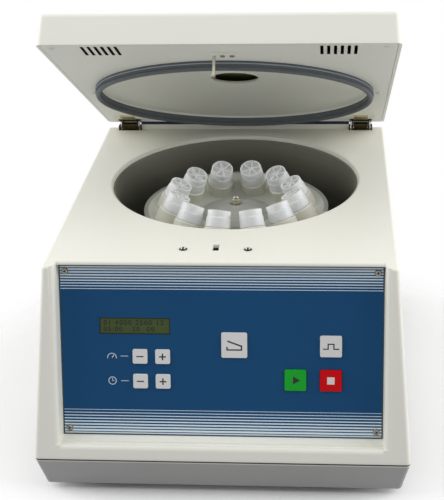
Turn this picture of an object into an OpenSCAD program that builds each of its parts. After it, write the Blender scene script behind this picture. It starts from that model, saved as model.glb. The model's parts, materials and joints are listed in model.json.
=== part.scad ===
// Bench-top laboratory centrifuge: an angle rotor with capped tubes in a steel bowl,
// a hinged lid with a ring seal, and a sloping front panel with push keys and a display.
// Sizes are in millimetres. The rotor axis is upright and the feet stand on z = 0.

/* [Body] */
// Height of the top face above the bench
body_h = 225; // [218:1:240]
// Height of the rubber feet
foot_h = 8; // [6:0.5:12]
// Height of the base pan
base_h = 35; // [31:0.5:38]
// Width of the top face
top_w = 332; // [326:1:342]
// Width of the body at the parting line
low_w = 359; // [352:1:368]
// Width of the base pan at its bottom
base_low_w = 345; // [338:1:352]
// Rotor axis to the back wall
back_d = 166; // [162:1:174]
// Rotor axis to the front of the cheeks at the top
front_top_d = 220.5; // [217:0.5:224]
// Rotor axis to the front of the body at the parting line
front_low_d = 266.7; // [262:0.1:271]
// Undercut of the base pan at its front
base_undercut = 11; // [7:0.5:14]
// Wall of the housing
wall = 3.5; // [3:0.1:4.2]
// Wall and floor of the base pan
pan_wall = 3; // [2.4:0.1:3.6]
// Rounding of the top edges of the housing
edge_r = 4; // [3:0.5:6]
// Rounding of the upright corners at the parting line
corner_r = 4.5; // [3:0.5:8]
// Depth of the shadow groove between housing and base pan
groove_d = 1.5; // [0.8:0.1:2]
// Height of that groove
groove_h = 1; // [0.6:0.1:1.6]

/* [Chamber] */
// Radius of the chamber mouth in the top face
mouth_r = 131.7; // [131:0.1:135]
// Rounding of the mouth's edge
mouth_round = 3; // [2:0.5:3.5]
// Depth of the collar under the mouth
collar_h = 4; // [4:0.5:9]
// Thickness of that collar
collar_t = 3.8; // [3.5:0.1:5]
// Inner radius of the steel bowl
bowl_r = 129.5; // [128:0.1:130]
// Sheet thickness of the bowl
bowl_t = 1.2; // [0.8:0.1:1.5]
// Bowl floor below the top face
bowl_depth = 124; // [120:1:127]
// Rounding between bowl wall and floor
bowl_round = 16; // [10:1:22]
// Width of the bowl's turned-out flange
bowl_flange = 8; // [6:0.5:9]
// Inner radius of the steel guard ring round the bowl
guard_r = 141; // [140.5:0.5:144]
// Thickness of the guard ring
guard_t = 3; // [2:0.5:4]

/* [Rotor] */
// Number of tubes in the rotor
tube_count = 12; // [8:1:12]
// Turn of the rotor at rest
rotor_turn = 3.2; // [-15:0.1:15]
// Lean of the tubes from upright
tube_tilt = 28; // [25:0.5:31]
// Radius of the circle through the cap tops
cap_circle_r = 61.6; // [60:0.1:66]
// Cap-top centres below the top face
cap_drop = 12.2; // [11:0.1:15]
// Radius of a tube cap
cap_r = 12; // [11.5:0.1:13]
// Height of a tube cap
cap_h = 18; // [16:0.5:19]
// Radius of a sample tube
tube_r = 9.6; // [8.5:0.1:10]
// Length of a sample tube
tube_len = 94; // [80:1:96]
// Wall of a sample tube
tube_wall = 1.2; // [0.8:0.1:1.6]
// Wall of a tube sleeve
sleeve_wall = 2.2; // [1.8:0.1:2.6]
// Collar radius of a tube sleeve
sleeve_collar_r = 14.5; // [13.8:0.1:15.2]
// Collar height of a tube sleeve above the rotor
sleeve_collar_h = 16; // [14:0.5:17]
// Radius of the rotor rim
rotor_r = 100.4; // [99:0.1:103]
// Rotor rim below the top face
rim_drop = 32.3; // [31:0.1:35]
// Radius of the raised disc in the rotor's middle
disc_r = 40; // [36:0.5:42]
// Edge of that disc below the rim
disc_drop = 7.7; // [6:0.1:9]
// Radius of the motor shaft
shaft_r = 6; // [5:0.1:7]
// Radius of the threaded stud on the shaft
stud_r = 2.4; // [2:0.1:2.8]
// Height of the rotor nut
nut_h = 11.3; // [10.5:0.1:13]

/* [Front panel] */
// Width of the panel plate
panel_w = 306; // [300:0.5:308]
// Thickness of the panel plate
panel_t = 2.5; // [2:0.1:3]
// Lean of the panel from upright
panel_tilt = 15; // [14.5:0.1:15.5]
// Lower edge of the panel behind the front of the body
panel_setback = 22.2; // [20:0.1:24]
// Height of the sill under the panel
sill_h = 14; // [11:0.5:16]
// Overhang of the top lip over the panel
lip_overhang = 8; // [5:0.5:9]
// Thickness of the top lip
lip_t = 3.5; // [3:0.1:4.2]
// Rounding of the cheeks and the sill round the panel
frame_r = 5; // [3:0.5:6]
// Size of the square plus and minus keys
step_key = 14.1; // [13:0.1:15.5]
// Size of the square lid key
lid_key = 24.5; // [23:0.5:27]
// Size of the square run keys
run_key = 20.6; // [19:0.1:23]
// Height of the keys above the panel
key_proud = 1.6; // [1.2:0.1:2.2]
// Width of the display window
display_w = 68; // [64:0.1:70]
// Height of the display window
display_h = 16.3; // [15:0.1:18]

/* [Lid] */
// Length of the lid, back to front
lid_len = 378.5; // [374:0.5:382]
// Thickness of the lid
lid_t = 30.4; // [28:0.1:34]
// Wall of the lid shell
lid_wall = 3; // [2.4:0.1:3.6]
// Thickness of the lid's inner plate
lid_plate_t = 2; // [1.5:0.1:2.5]
// How far the lid stands open
lid_open = 30; // [20:1:40]
// Gap between the closed lid and the top face
lid_gap = 9.5; // [9.2:0.1:11]
// Outer radius of the ring seal
seal_r = 147.7; // [146:0.1:150]
// Width of the ring seal
seal_w = 6; // [5.5:0.1:7]
// Clearance between the ring seal and the top face when closed
seal_clear = 0.3; // [0.2:0.1:0.5]
// Depth of the dish in the lid
dish_depth = 15.5; // [12:0.5:18]
// Radius of the air hole in the dish
air_hole_r = 25.4; // [22:0.1:28]
// Length of the lid's air slots
vent_len = 32; // [26:1:36]
// Width of the lid's air slots
vent_w = 3; // [2:0.1:3.6]

/* [Hinge and lock] */
// Hinge centres from the middle of the machine
hinge_x = 138; // [132:1:142]
// Hinge axis in front of the back wall
hinge_in = 6.5; // [6:0.1:7.5]
// Hinge axis above the top face
hinge_up = 4.5; // [4.2:0.1:5]
// Radius of the hinge pin
hinge_pin_r = 2; // [1.6:0.1:2.2]
// Radius of the hinge bracket's barrel
barrel_r = 3.2; // [2.9:0.1:3.3]
// Sideways place of the lock
lock_x = -6; // [-12:0.5:6]
// Lock slot in front of the rotor axis
lock_d = 176; // [174:0.5:178]
// Width of the lock slot
slot_w = 6; // [5.5:0.1:7]
// Length of the lock slot
slot_l = 13.2; // [12.5:0.1:15]
// Length of the striker hook below the lid
hook_len = 22; // [21.5:0.1:22.4]
// Radius of the striker hook's rod
hook_r = 1.5; // [1.2:0.1:1.7]
// Travel of the lock bolt
bolt_travel = 6; // [5:0.1:6.5]

/* [Back] */
// Width of the rear plate
rear_w = 250; // [240:1:262]
// Height of the rear plate
rear_h = 104; // [98:1:110]
// Thickness of the rear plate
rear_t = 2; // [1.5:0.1:3]

/* [Fits] */
// Clearance between pieces that slide past each other
slide_gap = 0.3; // [0.2:0.05:0.4]
// Radial clearance of shafts and pins that turn
turn_gap = 0.05; // [0.02:0.01:0.09]
// Radial clearance of pieces that are pushed together
seat_gap = 0.02; // [0.01:0.01:0.04]

/* [Hidden] */
$fn = 64;
hull_fn = 24;
cut = 1;

// Colours
cream = "#f1f0e4";
grey_cream = "#c9cabd";
pan_grey = "#8b8b89";
panel_blue = "#1d4a76";
steel = "#b9bcbe";
dark_steel = "#5c5b54";
aluminium = "#c6c7c4";
rubber_black = "#242526";
brass = "#b08d3c";
board_green = "#1f5a3a";

// Heights of the body
base_z = foot_h;
parting_z = foot_h + base_h;
rim_h = 2;
ledge_z = parting_z + sill_h;
floor_z = base_z + pan_wall;

// Panel plane: its lower edge, its length up to the lip, and the depth of the frame before it
panel_y = -front_low_d + panel_setback;
lip_z = body_h - lip_t;
panel_gap = 0.5;
reveal = 0.6;
seat_w = panel_w + 2 * panel_gap;
pocket_w = seat_w + 2 * reveal;
pocket_len = (lip_z - ledge_z) / cos(panel_tilt);
panel_len = pocket_len - 2 * panel_gap;
flange_t = 3;
flange_w = 11;
function panel_y_at(z) = panel_y + (z - ledge_z) * tan(panel_tilt);
function front_y_at(z) = -front_low_d + (z - parting_z - rim_h) * tan(panel_tilt);
lip_y = panel_y_at(lip_z) - lip_overhang;
lip_r = 3;
frame_depth = (panel_y - front_y_at(ledge_z)) * cos(panel_tilt);
frame_reach = 60;

// Keys: name of the column or row, from the panel's middle and its lower edge
step_x1 = -77.4;
step_x2 = -55.7;
step_row1 = 78.5;
step_row2 = 54.1;
run_x1 = 70.5;
run_x2 = 104;
run_row1 = 90.3;
run_row2 = 57;
lid_key_at = [12.7, 90.5];
key_corner = 1.6;
key_travel = 1;
key_flange = 1.5;
key_flange_t = 1.2;
key_stem_r = 2;
display_at = [-82, 107.9];
display_t = 1.5;
KEYS = [
    [step_x1, step_row1, step_key], [step_x2, step_row1, step_key],
    [step_x1, step_row2, step_key], [step_x2, step_row2, step_key],
    [lid_key_at[0], lid_key_at[1], lid_key], [run_x2, run_row1, run_key],
    [run_x1, run_row2, run_key], [run_x2, run_row2, run_key]
];

// Depths behind the panel face: switches and board
board_gap = 9.5;
board_t = 1.6;
board_n = -panel_t - board_gap;
switch_h = 3.5;
switch_w = 6;
board_low = 22;
board_high = 138;
board_w = 268;
standoff_r = 3;
standoff_in = 8;
standoff_edge = 10;
standoff_mid = -20;
STANDOFFS = [
    for (x = [standoff_in - board_w / 2, standoff_mid, board_w / 2 - standoff_in],
        v = [board_low + standoff_edge, board_high - standoff_edge]) [x, v]
];

// Corner screws of the panel
screw_in = 5.6;
screw_low = 6.6;
screw_high = 8.4;
screw_r = 1.5;
screw_head_r = 3.4;
screw_head_h = 1.6;
screw_head_slope = 0.8;
screw_tail = 3;
recess_w = 0.8;
recess_l = 3.6;
recess_depth = 1;

// Lid, drawn closed and then opened about the hinge
hinge_y = back_d - hinge_in;
hinge_z = body_h + hinge_up;
lid_z = body_h + lid_gap;
lid_rear_over = 1.5;
lid_back = back_d + lid_rear_over;
lid_front = lid_back - lid_len;
lid_w = top_w;
lid_draft = 2;
lid_corner_r = 6;
lid_edge_r = 5;
lid_rim_h = 2;
lid_fit = 0.4;
lid_top = lid_z + lid_t;
dish_t = 1.5;
dish_r = seal_r - seal_w - lid_fit;
dish_flange = 7;
dish_sphere_r = (dish_r * dish_r + dish_depth * dish_depth) / (2 * dish_depth);
seal_h = lid_gap - seal_clear;

// The row frame stands on the middle of the box round the machine with its lid open
rear_reach = hinge_y + (lid_back - lid_draft - lid_edge_r - hinge_y) * cos(lid_open)
    + (lid_top - lid_edge_r - hinge_z) * sin(lid_open) + lid_edge_r;
rotor_y = (front_low_d - rear_reach) / 2;

// Hinge pieces
barrel_w = 16;
ear_t = 3;
ear_r = 3.9;
leaf_t = 1.4;
leaf_w = 26;
leaf_front = 9.5;
tongue = 23;
leaf_back = 6.5;
notch_w = 28;
notch_in = 7;
notch_depth = 12;
bracket_plate_t = 3;
bracket_plate_h = 32;
bracket_drop = 2;
pin_end = 0.5;

// Lock pieces
lock_y = -lock_d;
lock_plate_t = 2.5;
facet_gap = 0.06;
lock_plate_z = body_h - wall - lock_plate_t - facet_gap;
lock_screw_off = 4;
lock_screw_y = lock_y - lock_screw_off;
lock_plate_w = 26;
lock_screw_span = 30.9;
hook_off = 2.5;
hook_y = lock_y + hook_off;
foot_back = hook_r;
foot_front = 6.5;
foot_h_hook = 3;
foot_top = lid_z - hook_len + foot_h_hook;
bolt_gap = 0.6;
bolt_t = 2.4;
bolt_z = foot_top + bolt_gap;
bolt_w = 4.6;
bolt_y = hook_y - hook_r - slide_gap - bolt_w;
bolt_rest = 1.5;
bolt_tip = lock_x + hook_r + bolt_rest;
bolt_len = 18;
bolt_tab_t = 3;
bolt_tab_drop = 18;
plunger_r = 3;
plunger_len = 21;
plunger_up = 2;
plunger_z = bolt_z + bolt_t - bolt_tab_drop + plunger_r + plunger_up;
block_back = 5;
block_left = 10;
block_right = 10;
block_drop = 12;
solenoid_gap = 7;
solenoid_len = 32;
solenoid_w = 24;

// Striker plate on the lid
striker_w = 25;
striker_l = 17;
striker_off = 1.5;
striker_y = lock_y + striker_off;
striker_edge = 0.5;
striker_t = 2;
striker_holes = [8, 17];

// Rotor heights
rim_z = body_h - rim_drop;
disc_z = rim_z - disc_drop;
cap_z = body_h - cap_drop;
hub_r = 24;
hub_drop = 58;
hub_bottom = disc_z - hub_drop;
washer_t = 1;
washer_r = 5.6;
disc_rise = 10.6;
hub_top_z = disc_z + disc_rise;
hub_top_r = 9.5;
well_r = 7;
well_depth = 4;
well_z = hub_top_z - well_depth;
sleeve_in_r = tube_r + slide_gap;
sleeve_r = sleeve_in_r + sleeve_wall;
sleeve_floor = 3;
sleeve_len = tube_len + sleeve_floor;
sleeve_start = cap_h + slide_gap;
cap_step = 1.2;
cap_skirt_r = cap_r + cap_step;
cap_skirt_h = 10.5;
cap_taper = 0.5;
cap_spokes = 6;
cap_recess = 4;
cap_lip = 1.6;
cap_hub_r = 2.6;
cap_spoke_w = 1.2;
cap_spoke_drop = 0.4;
tube_in_cap = 9;

// Cone of the rotor, square to the tubes, on which the sleeve collars sit
seat_sink = 0.5;
seat_at = sleeve_start + sleeve_collar_h;
seat_r = cap_circle_r + seat_at * sin(tube_tilt);
seat_z = cap_z - seat_at * cos(tube_tilt) + seat_sink;
function cone_z(r) = seat_z + (r - seat_r) * tan(tube_tilt);
cone_r = seat_r + (rim_z - seat_z) / tan(tube_tilt);

// Motor heights
motor_r = 60;
motor_wall = 4;
motor_clear = 5;
can_z = floor_z + motor_clear;
bracket_t = 4;
bell_t = 6;
boss_rise = 24;
bell_r = 72;
boss_r = 24;
bearing_r = 16;
bearing_h = 10;
bearing_lip = 3;
stator_in_r = 38;
stator_gap = 4;
armature_gap = 6;
tray_t = 3;
boss_clear = 4;
bowl_floor_z = body_h - bowl_depth;
tray_z = bowl_floor_z - tray_t;
boss_top = tray_z - boss_clear;
bell_z = boss_top - boss_rise;
bracket_z = bell_z - bracket_t;
damper_circle = 88;
damper_r = 11;
damper_h = 18;
post_r = 9;
leg_r = 8;
leg_circle = 138;
tray_hole_r = 40;
sheet_lap = 6;
guard_drop = 16;

// Rear plate parts
rear_up = 20;
rear_z = parting_z + rear_up;
rear_lap = 8;
rear_corner = 3;
rear_screw_in = 6;
rear_slot_count = 14;
rear_slot_pitch = 10;
rear_slot_w = 4;
rear_slot_in = 18;
rear_slot_x = -112;
mains_x = 96;
mains_up = 30;
inlet_at = [mains_x, rear_z + mains_up];
inlet_hole = [27.4, 20];
inlet_flange = [50, 23];
inlet_flange_t = 2.5;
inlet_depth = 22;
inlet_floor = 3;
inlet_wall = [1.5, 1.7];
inlet_screw_in = 5;
clip_fit = 0.3;
PINS = [[-7, 2], [0, -2], [7, 2]];
pin_size = [2, 4];
pin_len = 25;
pin_back = 30;
switch_up = 72;
switch_at = [mains_x, rear_z + switch_up];
switch_hole = [27, 12.6];
switch_lap = [4, 3];
switch_flange_t = 2;
switch_corner = 1.5;
switch_depth = 18;
switch_room = 10;
fuse_r = 6.5;
fuse_depth = 22;
fuse_rim = 1.5;
fuse_rim_t = 2;
fuse_knob_in = 1;
fuse_knob_h = 7;
fuse_slot_w = 1.4;
fuse_slot_d = 1.5;
FUSES = [for (x = [46, 61]) [x, rear_z + mains_up]];

// Screws through the base pan
boss_front = 50;
boss_rear = 26;
boss_in = 27;
boss_at_y = [-front_low_d + boss_front, back_d - boss_rear];
boss_x = low_w / 2 - boss_in;
boss_h = 52;
boss_skin = 6;
pillar_r = 6;
pan_boss_r = 7;
head_clear = 0.8;
screw_grip = 20;
function half_at(z) = low_w / 2 + (top_w - low_w) / 2 * (z - parting_z) / (body_h - parting_z);
rib_l = half_at(parting_z + 0.75 * boss_h) - wall / 2 - boss_x;
rib_t = 4;
drill_r = 2.1;

// Air slots in the floor of the base pan, and its feet
pan_slot_count = 6;
pan_slot_pitch = 12;
pan_slot_w = 6;
pan_slot_l = 50;
pan_slot_at = [60, 60];
pad_front = 62;
pad_rear = 46;
pad_in = 34;
pad_low_r = 11;
pad_r = 13;

// Moves the machine so that the row frame stands under the middle of its box
module place() {
    translate([0, rotor_y, 0]) children();
}

// Extrudes an outline of (y, z) points across the machine
module across(w) {
    translate([-w / 2, 0, 0]) rotate([90, 0, 90]) linear_extrude(w) children();
}

// Local frame of the panel: x sideways, y up the slope from the lower edge, z out of the panel
module on_panel() {
    place() translate([0, panel_y, ledge_z]) rotate([90 - panel_tilt, 0, 0]) children();
}

// Turns pieces drawn on the closed lid to the open lid
module on_lid() {
    place() translate([0, hinge_y, hinge_z]) rotate([-lid_open, 0, 0])
        translate([0, -hinge_y, -hinge_z]) children();
}

// Local frames of the tubes: origin at the cap top, z up along the tube
module each_tube() {
    place() for (i = [0 : tube_count - 1])
        rotate([0, 0, rotor_turn + (i + 0.5) * 360 / tube_count])
            translate([cap_circle_r, 0, cap_z]) rotate([0, -tube_tilt, 0]) children();
}

// Flat rectangle with round corners
module round_rect(w, l, r) {
    square([w - 2 * r, l], center = true);
    square([w, l - 2 * r], center = true);
    for (x = [-1, 1], y = [-1, 1])
        translate([x * (w / 2 - r), y * (l / 2 - r)]) circle(r);
}

// Cross recess, cut down into the top of a screw head
module cross_recess(depth, turn) {
    for (a = [turn, turn + 90]) rotate([0, 0, a])
        translate([-recess_w / 2, -recess_l / 2, -depth]) cube([recess_w, recess_l, depth + cut]);
}

// Upright ring
module ring(r_in, r_out, z, h) {
    translate([0, 0, z]) difference() {
        cylinder(r = r_out, h = h);
        translate([0, 0, -cut]) cylinder(r = r_in, h = h + 2 * cut);
    }
}

// Radius of a rounding that is drawn in by an inset
least_r = 0.5;
function inset_r(r, inset) = max(r - inset, least_r);

// Body of the housing, drawn in by an inset on every side and let down below the parting line
module body_form(inset, below) {
    low_r = inset_r(corner_r, inset);
    low_in = inset + low_r;
    top_r = inset_r(edge_r, inset);
    top_in = inset + top_r;
    hull() {
        for (x = [-1, 1], y = [-front_low_d + low_in, back_d - low_in])
            translate([x * (low_w / 2 - low_in), y, parting_z - below])
                cylinder(r = low_r, h = rim_h + below, $fn = hull_fn);
        for (x = [-1, 1], y = [-front_top_d + top_in, back_d - top_in])
            translate([x * (top_w / 2 - top_in), y, body_h - top_in])
                sphere(r = top_r, $fn = hull_fn);
    }
}

// Tray of the base pan, drawn in by an inset
module pan_form(inset, z0, z1) {
    pan_r = inset_r(corner_r, inset);
    pan_in = inset + pan_r;
    slope_w = (low_w - base_low_w) / 2 / base_h;
    slope_f = base_undercut / base_h;
    hull() for (z = [z0, z1 - groove_h]) {
        half = low_w / 2 - slope_w * (parting_z - z);
        front = -front_low_d + slope_f * (parting_z - z);
        for (x = [-1, 1], y = [front + pan_in, back_d - pan_in])
            translate([x * (half - pan_in), y, z]) cylinder(r = pan_r, h = groove_h, $fn = hull_fn);
    }
}

// Bosses under the screws that join base pan and housing
module at_bosses() {
    for (x = [-1, 1], y = boss_at_y) translate([x * boss_x, y, 0]) children();
}

// Posts for the vibration dampers
module at_dampers() {
    for (a = [90, 210, 330]) rotate([0, 0, a]) translate([damper_circle, 0, 0]) children();
}

module base_pan() {
    post_top = bracket_z - damper_h;
    color(pan_grey) place() difference() {
        union() {
            difference() {
                pan_form(0, base_z, parting_z - groove_h);
                pan_form(pan_wall, floor_z, parting_z + cut);
            }
            intersection() {
                translate([0, 0, parting_z - groove_h - cut])
                    linear_extrude(groove_h + cut) square(2 * low_w, center = true);
                difference() {
                    pan_form(groove_d, base_z, parting_z + groove_h);
                    pan_form(pan_wall + groove_d, base_z - cut, parting_z + 2 * cut);
                }
            }
            at_bosses() translate([0, 0, floor_z - cut])
                cylinder(r = pan_boss_r, h = parting_z - floor_z + cut);
            at_dampers() translate([0, 0, floor_z - cut])
                cylinder(r = post_r, h = post_top - floor_z + cut);
        }
        at_bosses() translate([0, 0, base_z - cut]) {
            cylinder(r = drill_r, h = base_h + 2 * cut);
            cylinder(r = screw_head_r + head_clear, h = pan_wall + cut);
        }
        for (x = [-1, 1], i = [0 : pan_slot_count - 1])
            translate([x * pan_slot_at[0] + (i - (pan_slot_count - 1) / 2) * pan_slot_pitch, 0, base_z - cut])
                translate([-pan_slot_w / 2, pan_slot_at[1], 0])
                    cube([pan_slot_w, pan_slot_l, pan_wall + 2 * cut]);
    }
}

module rubber_feet() {
    color(rubber_black) place()
        for (x = [-1, 1], y = [-front_low_d + pad_front, back_d - pad_rear])
            translate([x * (base_low_w / 2 - pad_in), y, 0])
                cylinder(r1 = pad_low_r, r2 = pad_r, h = foot_h);
}

// Space before the back of the panel's support, which stays out of the hollow body
module panel_zone() {
    low = ledge_z - wall;
    back = (panel_t + flange_t) / cos(panel_tilt);
    high = 2 * body_h;
    across(2 * low_w) polygon([
        [panel_y_at(low) + back, low], [-2 * front_low_d, low],
        [-2 * front_low_d, high], [panel_y_at(high) + back, high]
    ]);
}

// Room in front of the panel, between rounded cheeks, over a rounded sill and under the lip
module panel_pocket() {
    sill_z = ledge_z - frame_r;
    sill_y = front_y_at(sill_z) + frame_r / cos(panel_tilt);
    steps = 6;
    corner = [for (i = [0 : steps]) let (a = 180 - i * 90 / steps)
        [pocket_w / 2 + frame_r + frame_r * cos(a), frame_depth - frame_r + frame_r * sin(a)]];
    right = concat([3 * corner[0] - 2 * corner[1]], [for (i = [1 : steps]) corner[i]]);
    across(pocket_w) polygon(concat(
        [[panel_y, ledge_z]],
        [for (i = [0 : steps]) let (a = 90 + i * (90 - panel_tilt) / steps)
            [sill_y + frame_r * cos(a), sill_z + frame_r * sin(a)]],
        [[-2 * front_low_d, sill_z], [-2 * front_low_d, 2 * body_h], [lip_y + lip_r, 2 * body_h]],
        [for (i = [0 : steps]) let (a = 90 + i * 90 / steps)
            [lip_y + lip_r + lip_r * cos(a), body_h - lip_r + lip_r * sin(a)]],
        [[lip_y, lip_z], [panel_y_at(lip_z), lip_z]]
    ));
    translate([0, panel_y, ledge_z]) rotate([90 - panel_tilt, 0, 0]) {
        translate([-seat_w / 2, 0, -panel_t]) cube([seat_w, pocket_len, panel_t + cut]);
        translate([flange_w - seat_w / 2, flange_w, -panel_t - flange_t - cut])
            cube([seat_w - 2 * flange_w, pocket_len - 2 * flange_w, flange_t + 2 * cut]);
        translate([0, 2 * body_h - frame_depth * tan(panel_tilt), 0]) rotate([90, 0, 0])
            linear_extrude(2 * body_h) polygon(concat(
                right, [[pocket_w / 2 + frame_r, frame_reach], [-pocket_w / 2 - frame_r, frame_reach]],
                [for (i = [len(right) - 1 : -1 : 0]) [-right[i][0], right[i][1]]]
            ));
    }
}

// Mouth of the chamber with its rounded edge
module mouth_cut() {
    steps = 6;
    low = body_h - collar_h - cut;
    rotate_extrude() polygon(concat(
        [[0, low], [mouth_r, low]],
        [for (i = [0 : steps]) let (a = 180 - i * 90 / steps)
            [mouth_r + mouth_round + mouth_round * cos(a), body_h - mouth_round + mouth_round * sin(a)]],
        [[mouth_r + mouth_round, body_h + cut], [0, body_h + cut]]
    ));
}

module main_housing() {
    color(cream) place() difference() {
        union() {
            difference() {
                body_form(0, 0);
                difference() {
                    body_form(wall, cut);
                    panel_zone();
                }
            }
            translate([0, 0, body_h - collar_h])
                cylinder(r = mouth_r + collar_t, h = collar_h - mouth_round / 2);
            at_bosses() translate([0, 0, parting_z]) cylinder(r = pillar_r, h = boss_h);
            for (x = [-1, 1], y = boss_at_y)
                translate([x > 0 ? boss_x : -boss_x - rib_l, y - rib_t / 2, parting_z + boss_h / 2])
                    cube([rib_l, rib_t, boss_h / 2]);
        }
        mouth_cut();
        panel_pocket();
        translate([lock_x - slot_w / 2, lock_y - slot_l / 2, body_h - 2 * wall])
            cube([slot_w, slot_l, 3 * wall]);
        for (x = [-1, 1]) translate([lock_x + x * lock_screw_span, lock_screw_y, body_h - 2 * wall])
            cylinder(r = screw_r + slide_gap, h = 3 * wall);
        for (x = [-1, 1]) translate([x * hinge_x - notch_w / 2, hinge_y - notch_in, body_h - notch_depth])
            cube([notch_w, 2 * notch_in + 2 * edge_r, 2 * notch_depth]);
        translate([rear_lap - rear_w / 2, back_d - 2 * wall, rear_z + rear_lap])
            cube([rear_w - 2 * rear_lap, 3 * wall, rear_h - 2 * rear_lap]);
        at_rear_screws() translate([0, 0, -2 * wall]) cylinder(r = screw_r + seat_gap, h = 3 * wall);
        at_bosses() translate([0, 0, parting_z - cut]) cylinder(r = drill_r, h = boss_h - boss_skin + cut);
        for (x = [-1, 1], v = [screw_low, panel_len - screw_high])
            translate([0, panel_y, ledge_z]) rotate([90 - panel_tilt, 0, 0])
                translate([x * (panel_w / 2 - screw_in), v, -panel_t - flange_t - screw_tail])
                    cylinder(r = screw_r + seat_gap, h = flange_t + screw_tail + cut);
    }
}

module housing_screws() {
    head_z = base_z + pan_wall - screw_head_h;
    color(steel) place() at_bosses() translate([0, 0, head_z]) {
        difference() {
            cylinder(r = screw_head_r, h = screw_head_h);
            translate([0, 0, -cut]) cylinder(r = screw_r, h = cut + screw_head_h / 2, $fn = 6);
        }
        cylinder(r = drill_r - turn_gap, h = base_h + screw_grip);
    }
}

// Places the rear plate's screws, z out of the back wall
module at_rear_screws() {
    for (x = [-1, 0, 1], z = [rear_screw_in, rear_h - rear_screw_in])
        translate([x * (rear_w / 2 - rear_screw_in), back_d, rear_z + z]) rotate([-90, 0, 0]) children();
}

module rear_plate() {
    color(grey_cream) place() difference() {
        translate([0, back_d, rear_z + rear_h / 2]) rotate([-90, 0, 0])
            linear_extrude(rear_t) round_rect(rear_w, rear_h, rear_corner);
        for (i = [0 : rear_slot_count - 1])
            translate([rear_slot_x + i * rear_slot_pitch, back_d - cut, rear_z + rear_slot_in])
                cube([rear_slot_w, rear_t + 2 * cut, rear_h - 2 * rear_slot_in]);
        translate([inlet_at[0] - inlet_hole[0] / 2, back_d - cut, inlet_at[1] - inlet_hole[1] / 2])
            cube([inlet_hole[0], rear_t + 2 * cut, inlet_hole[1]]);
        translate([switch_at[0] - switch_hole[0] / 2, back_d - cut, switch_at[1] - switch_hole[1] / 2])
            cube([switch_hole[0], rear_t + 2 * cut, switch_hole[1]]);
        for (f = FUSES) translate([f[0], back_d - cut, f[1]]) rotate([-90, 0, 0])
            cylinder(r = fuse_r + seat_gap, h = rear_t + 2 * cut);
        at_rear_screws() translate([0, 0, -cut]) cylinder(r = screw_r + seat_gap, h = rear_t + 2 * cut);
    }
}

module rear_screws() {
    color(steel) place() at_rear_screws() {
        translate([0, 0, rear_t]) difference() {
            cylinder(r1 = screw_head_r, r2 = screw_head_r - screw_head_slope, h = screw_head_h);
            translate([0, 0, screw_head_h]) cross_recess(recess_depth, 0);
        }
        translate([0, 0, -wall]) cylinder(r = screw_r, h = wall + rear_t);
    }
}

// Recess shell of the mains inlet, set in the rear plate
module power_inlet() {
    in = [inlet_hole[0] - clip_fit, inlet_hole[1] - clip_fit];
    color(rubber_black) place() translate([inlet_at[0], back_d + rear_t, inlet_at[1]]) rotate([-90, 0, 0])
        difference() {
            union() {
                linear_extrude(inlet_flange_t) round_rect(inlet_flange[0], inlet_flange[1], rear_corner);
                translate([0, 0, -inlet_depth]) linear_extrude(inlet_depth + cut) square(in, center = true);
            }
            translate([0, 0, inlet_floor - inlet_depth]) linear_extrude(inlet_depth + 2 * inlet_flange_t)
                square(in - 2 * inlet_wall, center = true);
            for (x = [-1, 1]) translate([x * (inlet_flange[0] / 2 - inlet_screw_in), 0, -cut])
                cylinder(r = screw_r, h = 2 * inlet_flange_t);
            for (p = PINS) translate([p[0], p[1], -inlet_depth - inlet_floor])
                linear_extrude(3 * inlet_floor)
                    square([pin_size[0] + 2 * seat_gap, pin_size[1] + 2 * seat_gap], center = true);
        }
}

// Three flat pins standing in the inlet
module inlet_pins() {
    color(brass) place() translate([inlet_at[0], back_d + rear_t, inlet_at[1]]) rotate([-90, 0, 0])
        for (p = PINS) translate([p[0], p[1], -pin_back])
            linear_extrude(pin_len) square(pin_size, center = true);
}

module fuse_holders() {
    color(rubber_black) place() for (f = FUSES) translate([f[0], back_d + rear_t, f[1]]) rotate([-90, 0, 0]) {
        difference() {
            union() {
                cylinder(r = fuse_r + fuse_rim, h = fuse_rim_t);
                cylinder(r = fuse_r - fuse_knob_in, h = fuse_knob_h);
            }
            translate([-fuse_slot_w / 2, -fuse_r, fuse_knob_h - fuse_slot_d])
                cube([fuse_slot_w, 2 * fuse_r, fuse_slot_d + cut]);
        }
        translate([0, 0, -fuse_depth]) cylinder(r = fuse_r, h = fuse_depth);
    }
}

// Rocker switch: a frame clipped into the rear plate and a rocker on its pins
rocker_tilt = 10;
rocker_l = 21;
rocker_w = 8.6;
rocker_sink = 1;
rocker_high = 4.4;
rocker_dip = 2.6;
rocker_low = 1.5;
rocker_keel = 4;
rocker_pin_r = 1;
rocker_pin_out = 1.2;
rocker_swing = 1.5;
module at_switch() {
    place() translate([switch_at[0], back_d + rear_t, switch_at[1]]) rotate([-90, 0, 0]) children();
}

module switch_frame() {
    color(rubber_black) at_switch() difference() {
        union() {
            linear_extrude(switch_flange_t)
                round_rect(switch_hole[0] + switch_lap[0], switch_hole[1] + switch_lap[1], switch_corner);
            translate([0, 0, -switch_depth]) linear_extrude(switch_depth + cut)
                square([switch_hole[0] - clip_fit, switch_hole[1] - clip_fit], center = true);
        }
        translate([0, 0, -switch_room]) linear_extrude(2 * switch_room)
            square([rocker_l + 2 * rocker_swing, rocker_w + 2 * slide_gap], center = true);
        translate([0, 0, -rocker_sink]) rotate([90, 0, 0])
            cylinder(r = rocker_pin_r + turn_gap, h = 4 * rocker_w, center = true);
    }
}

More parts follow.
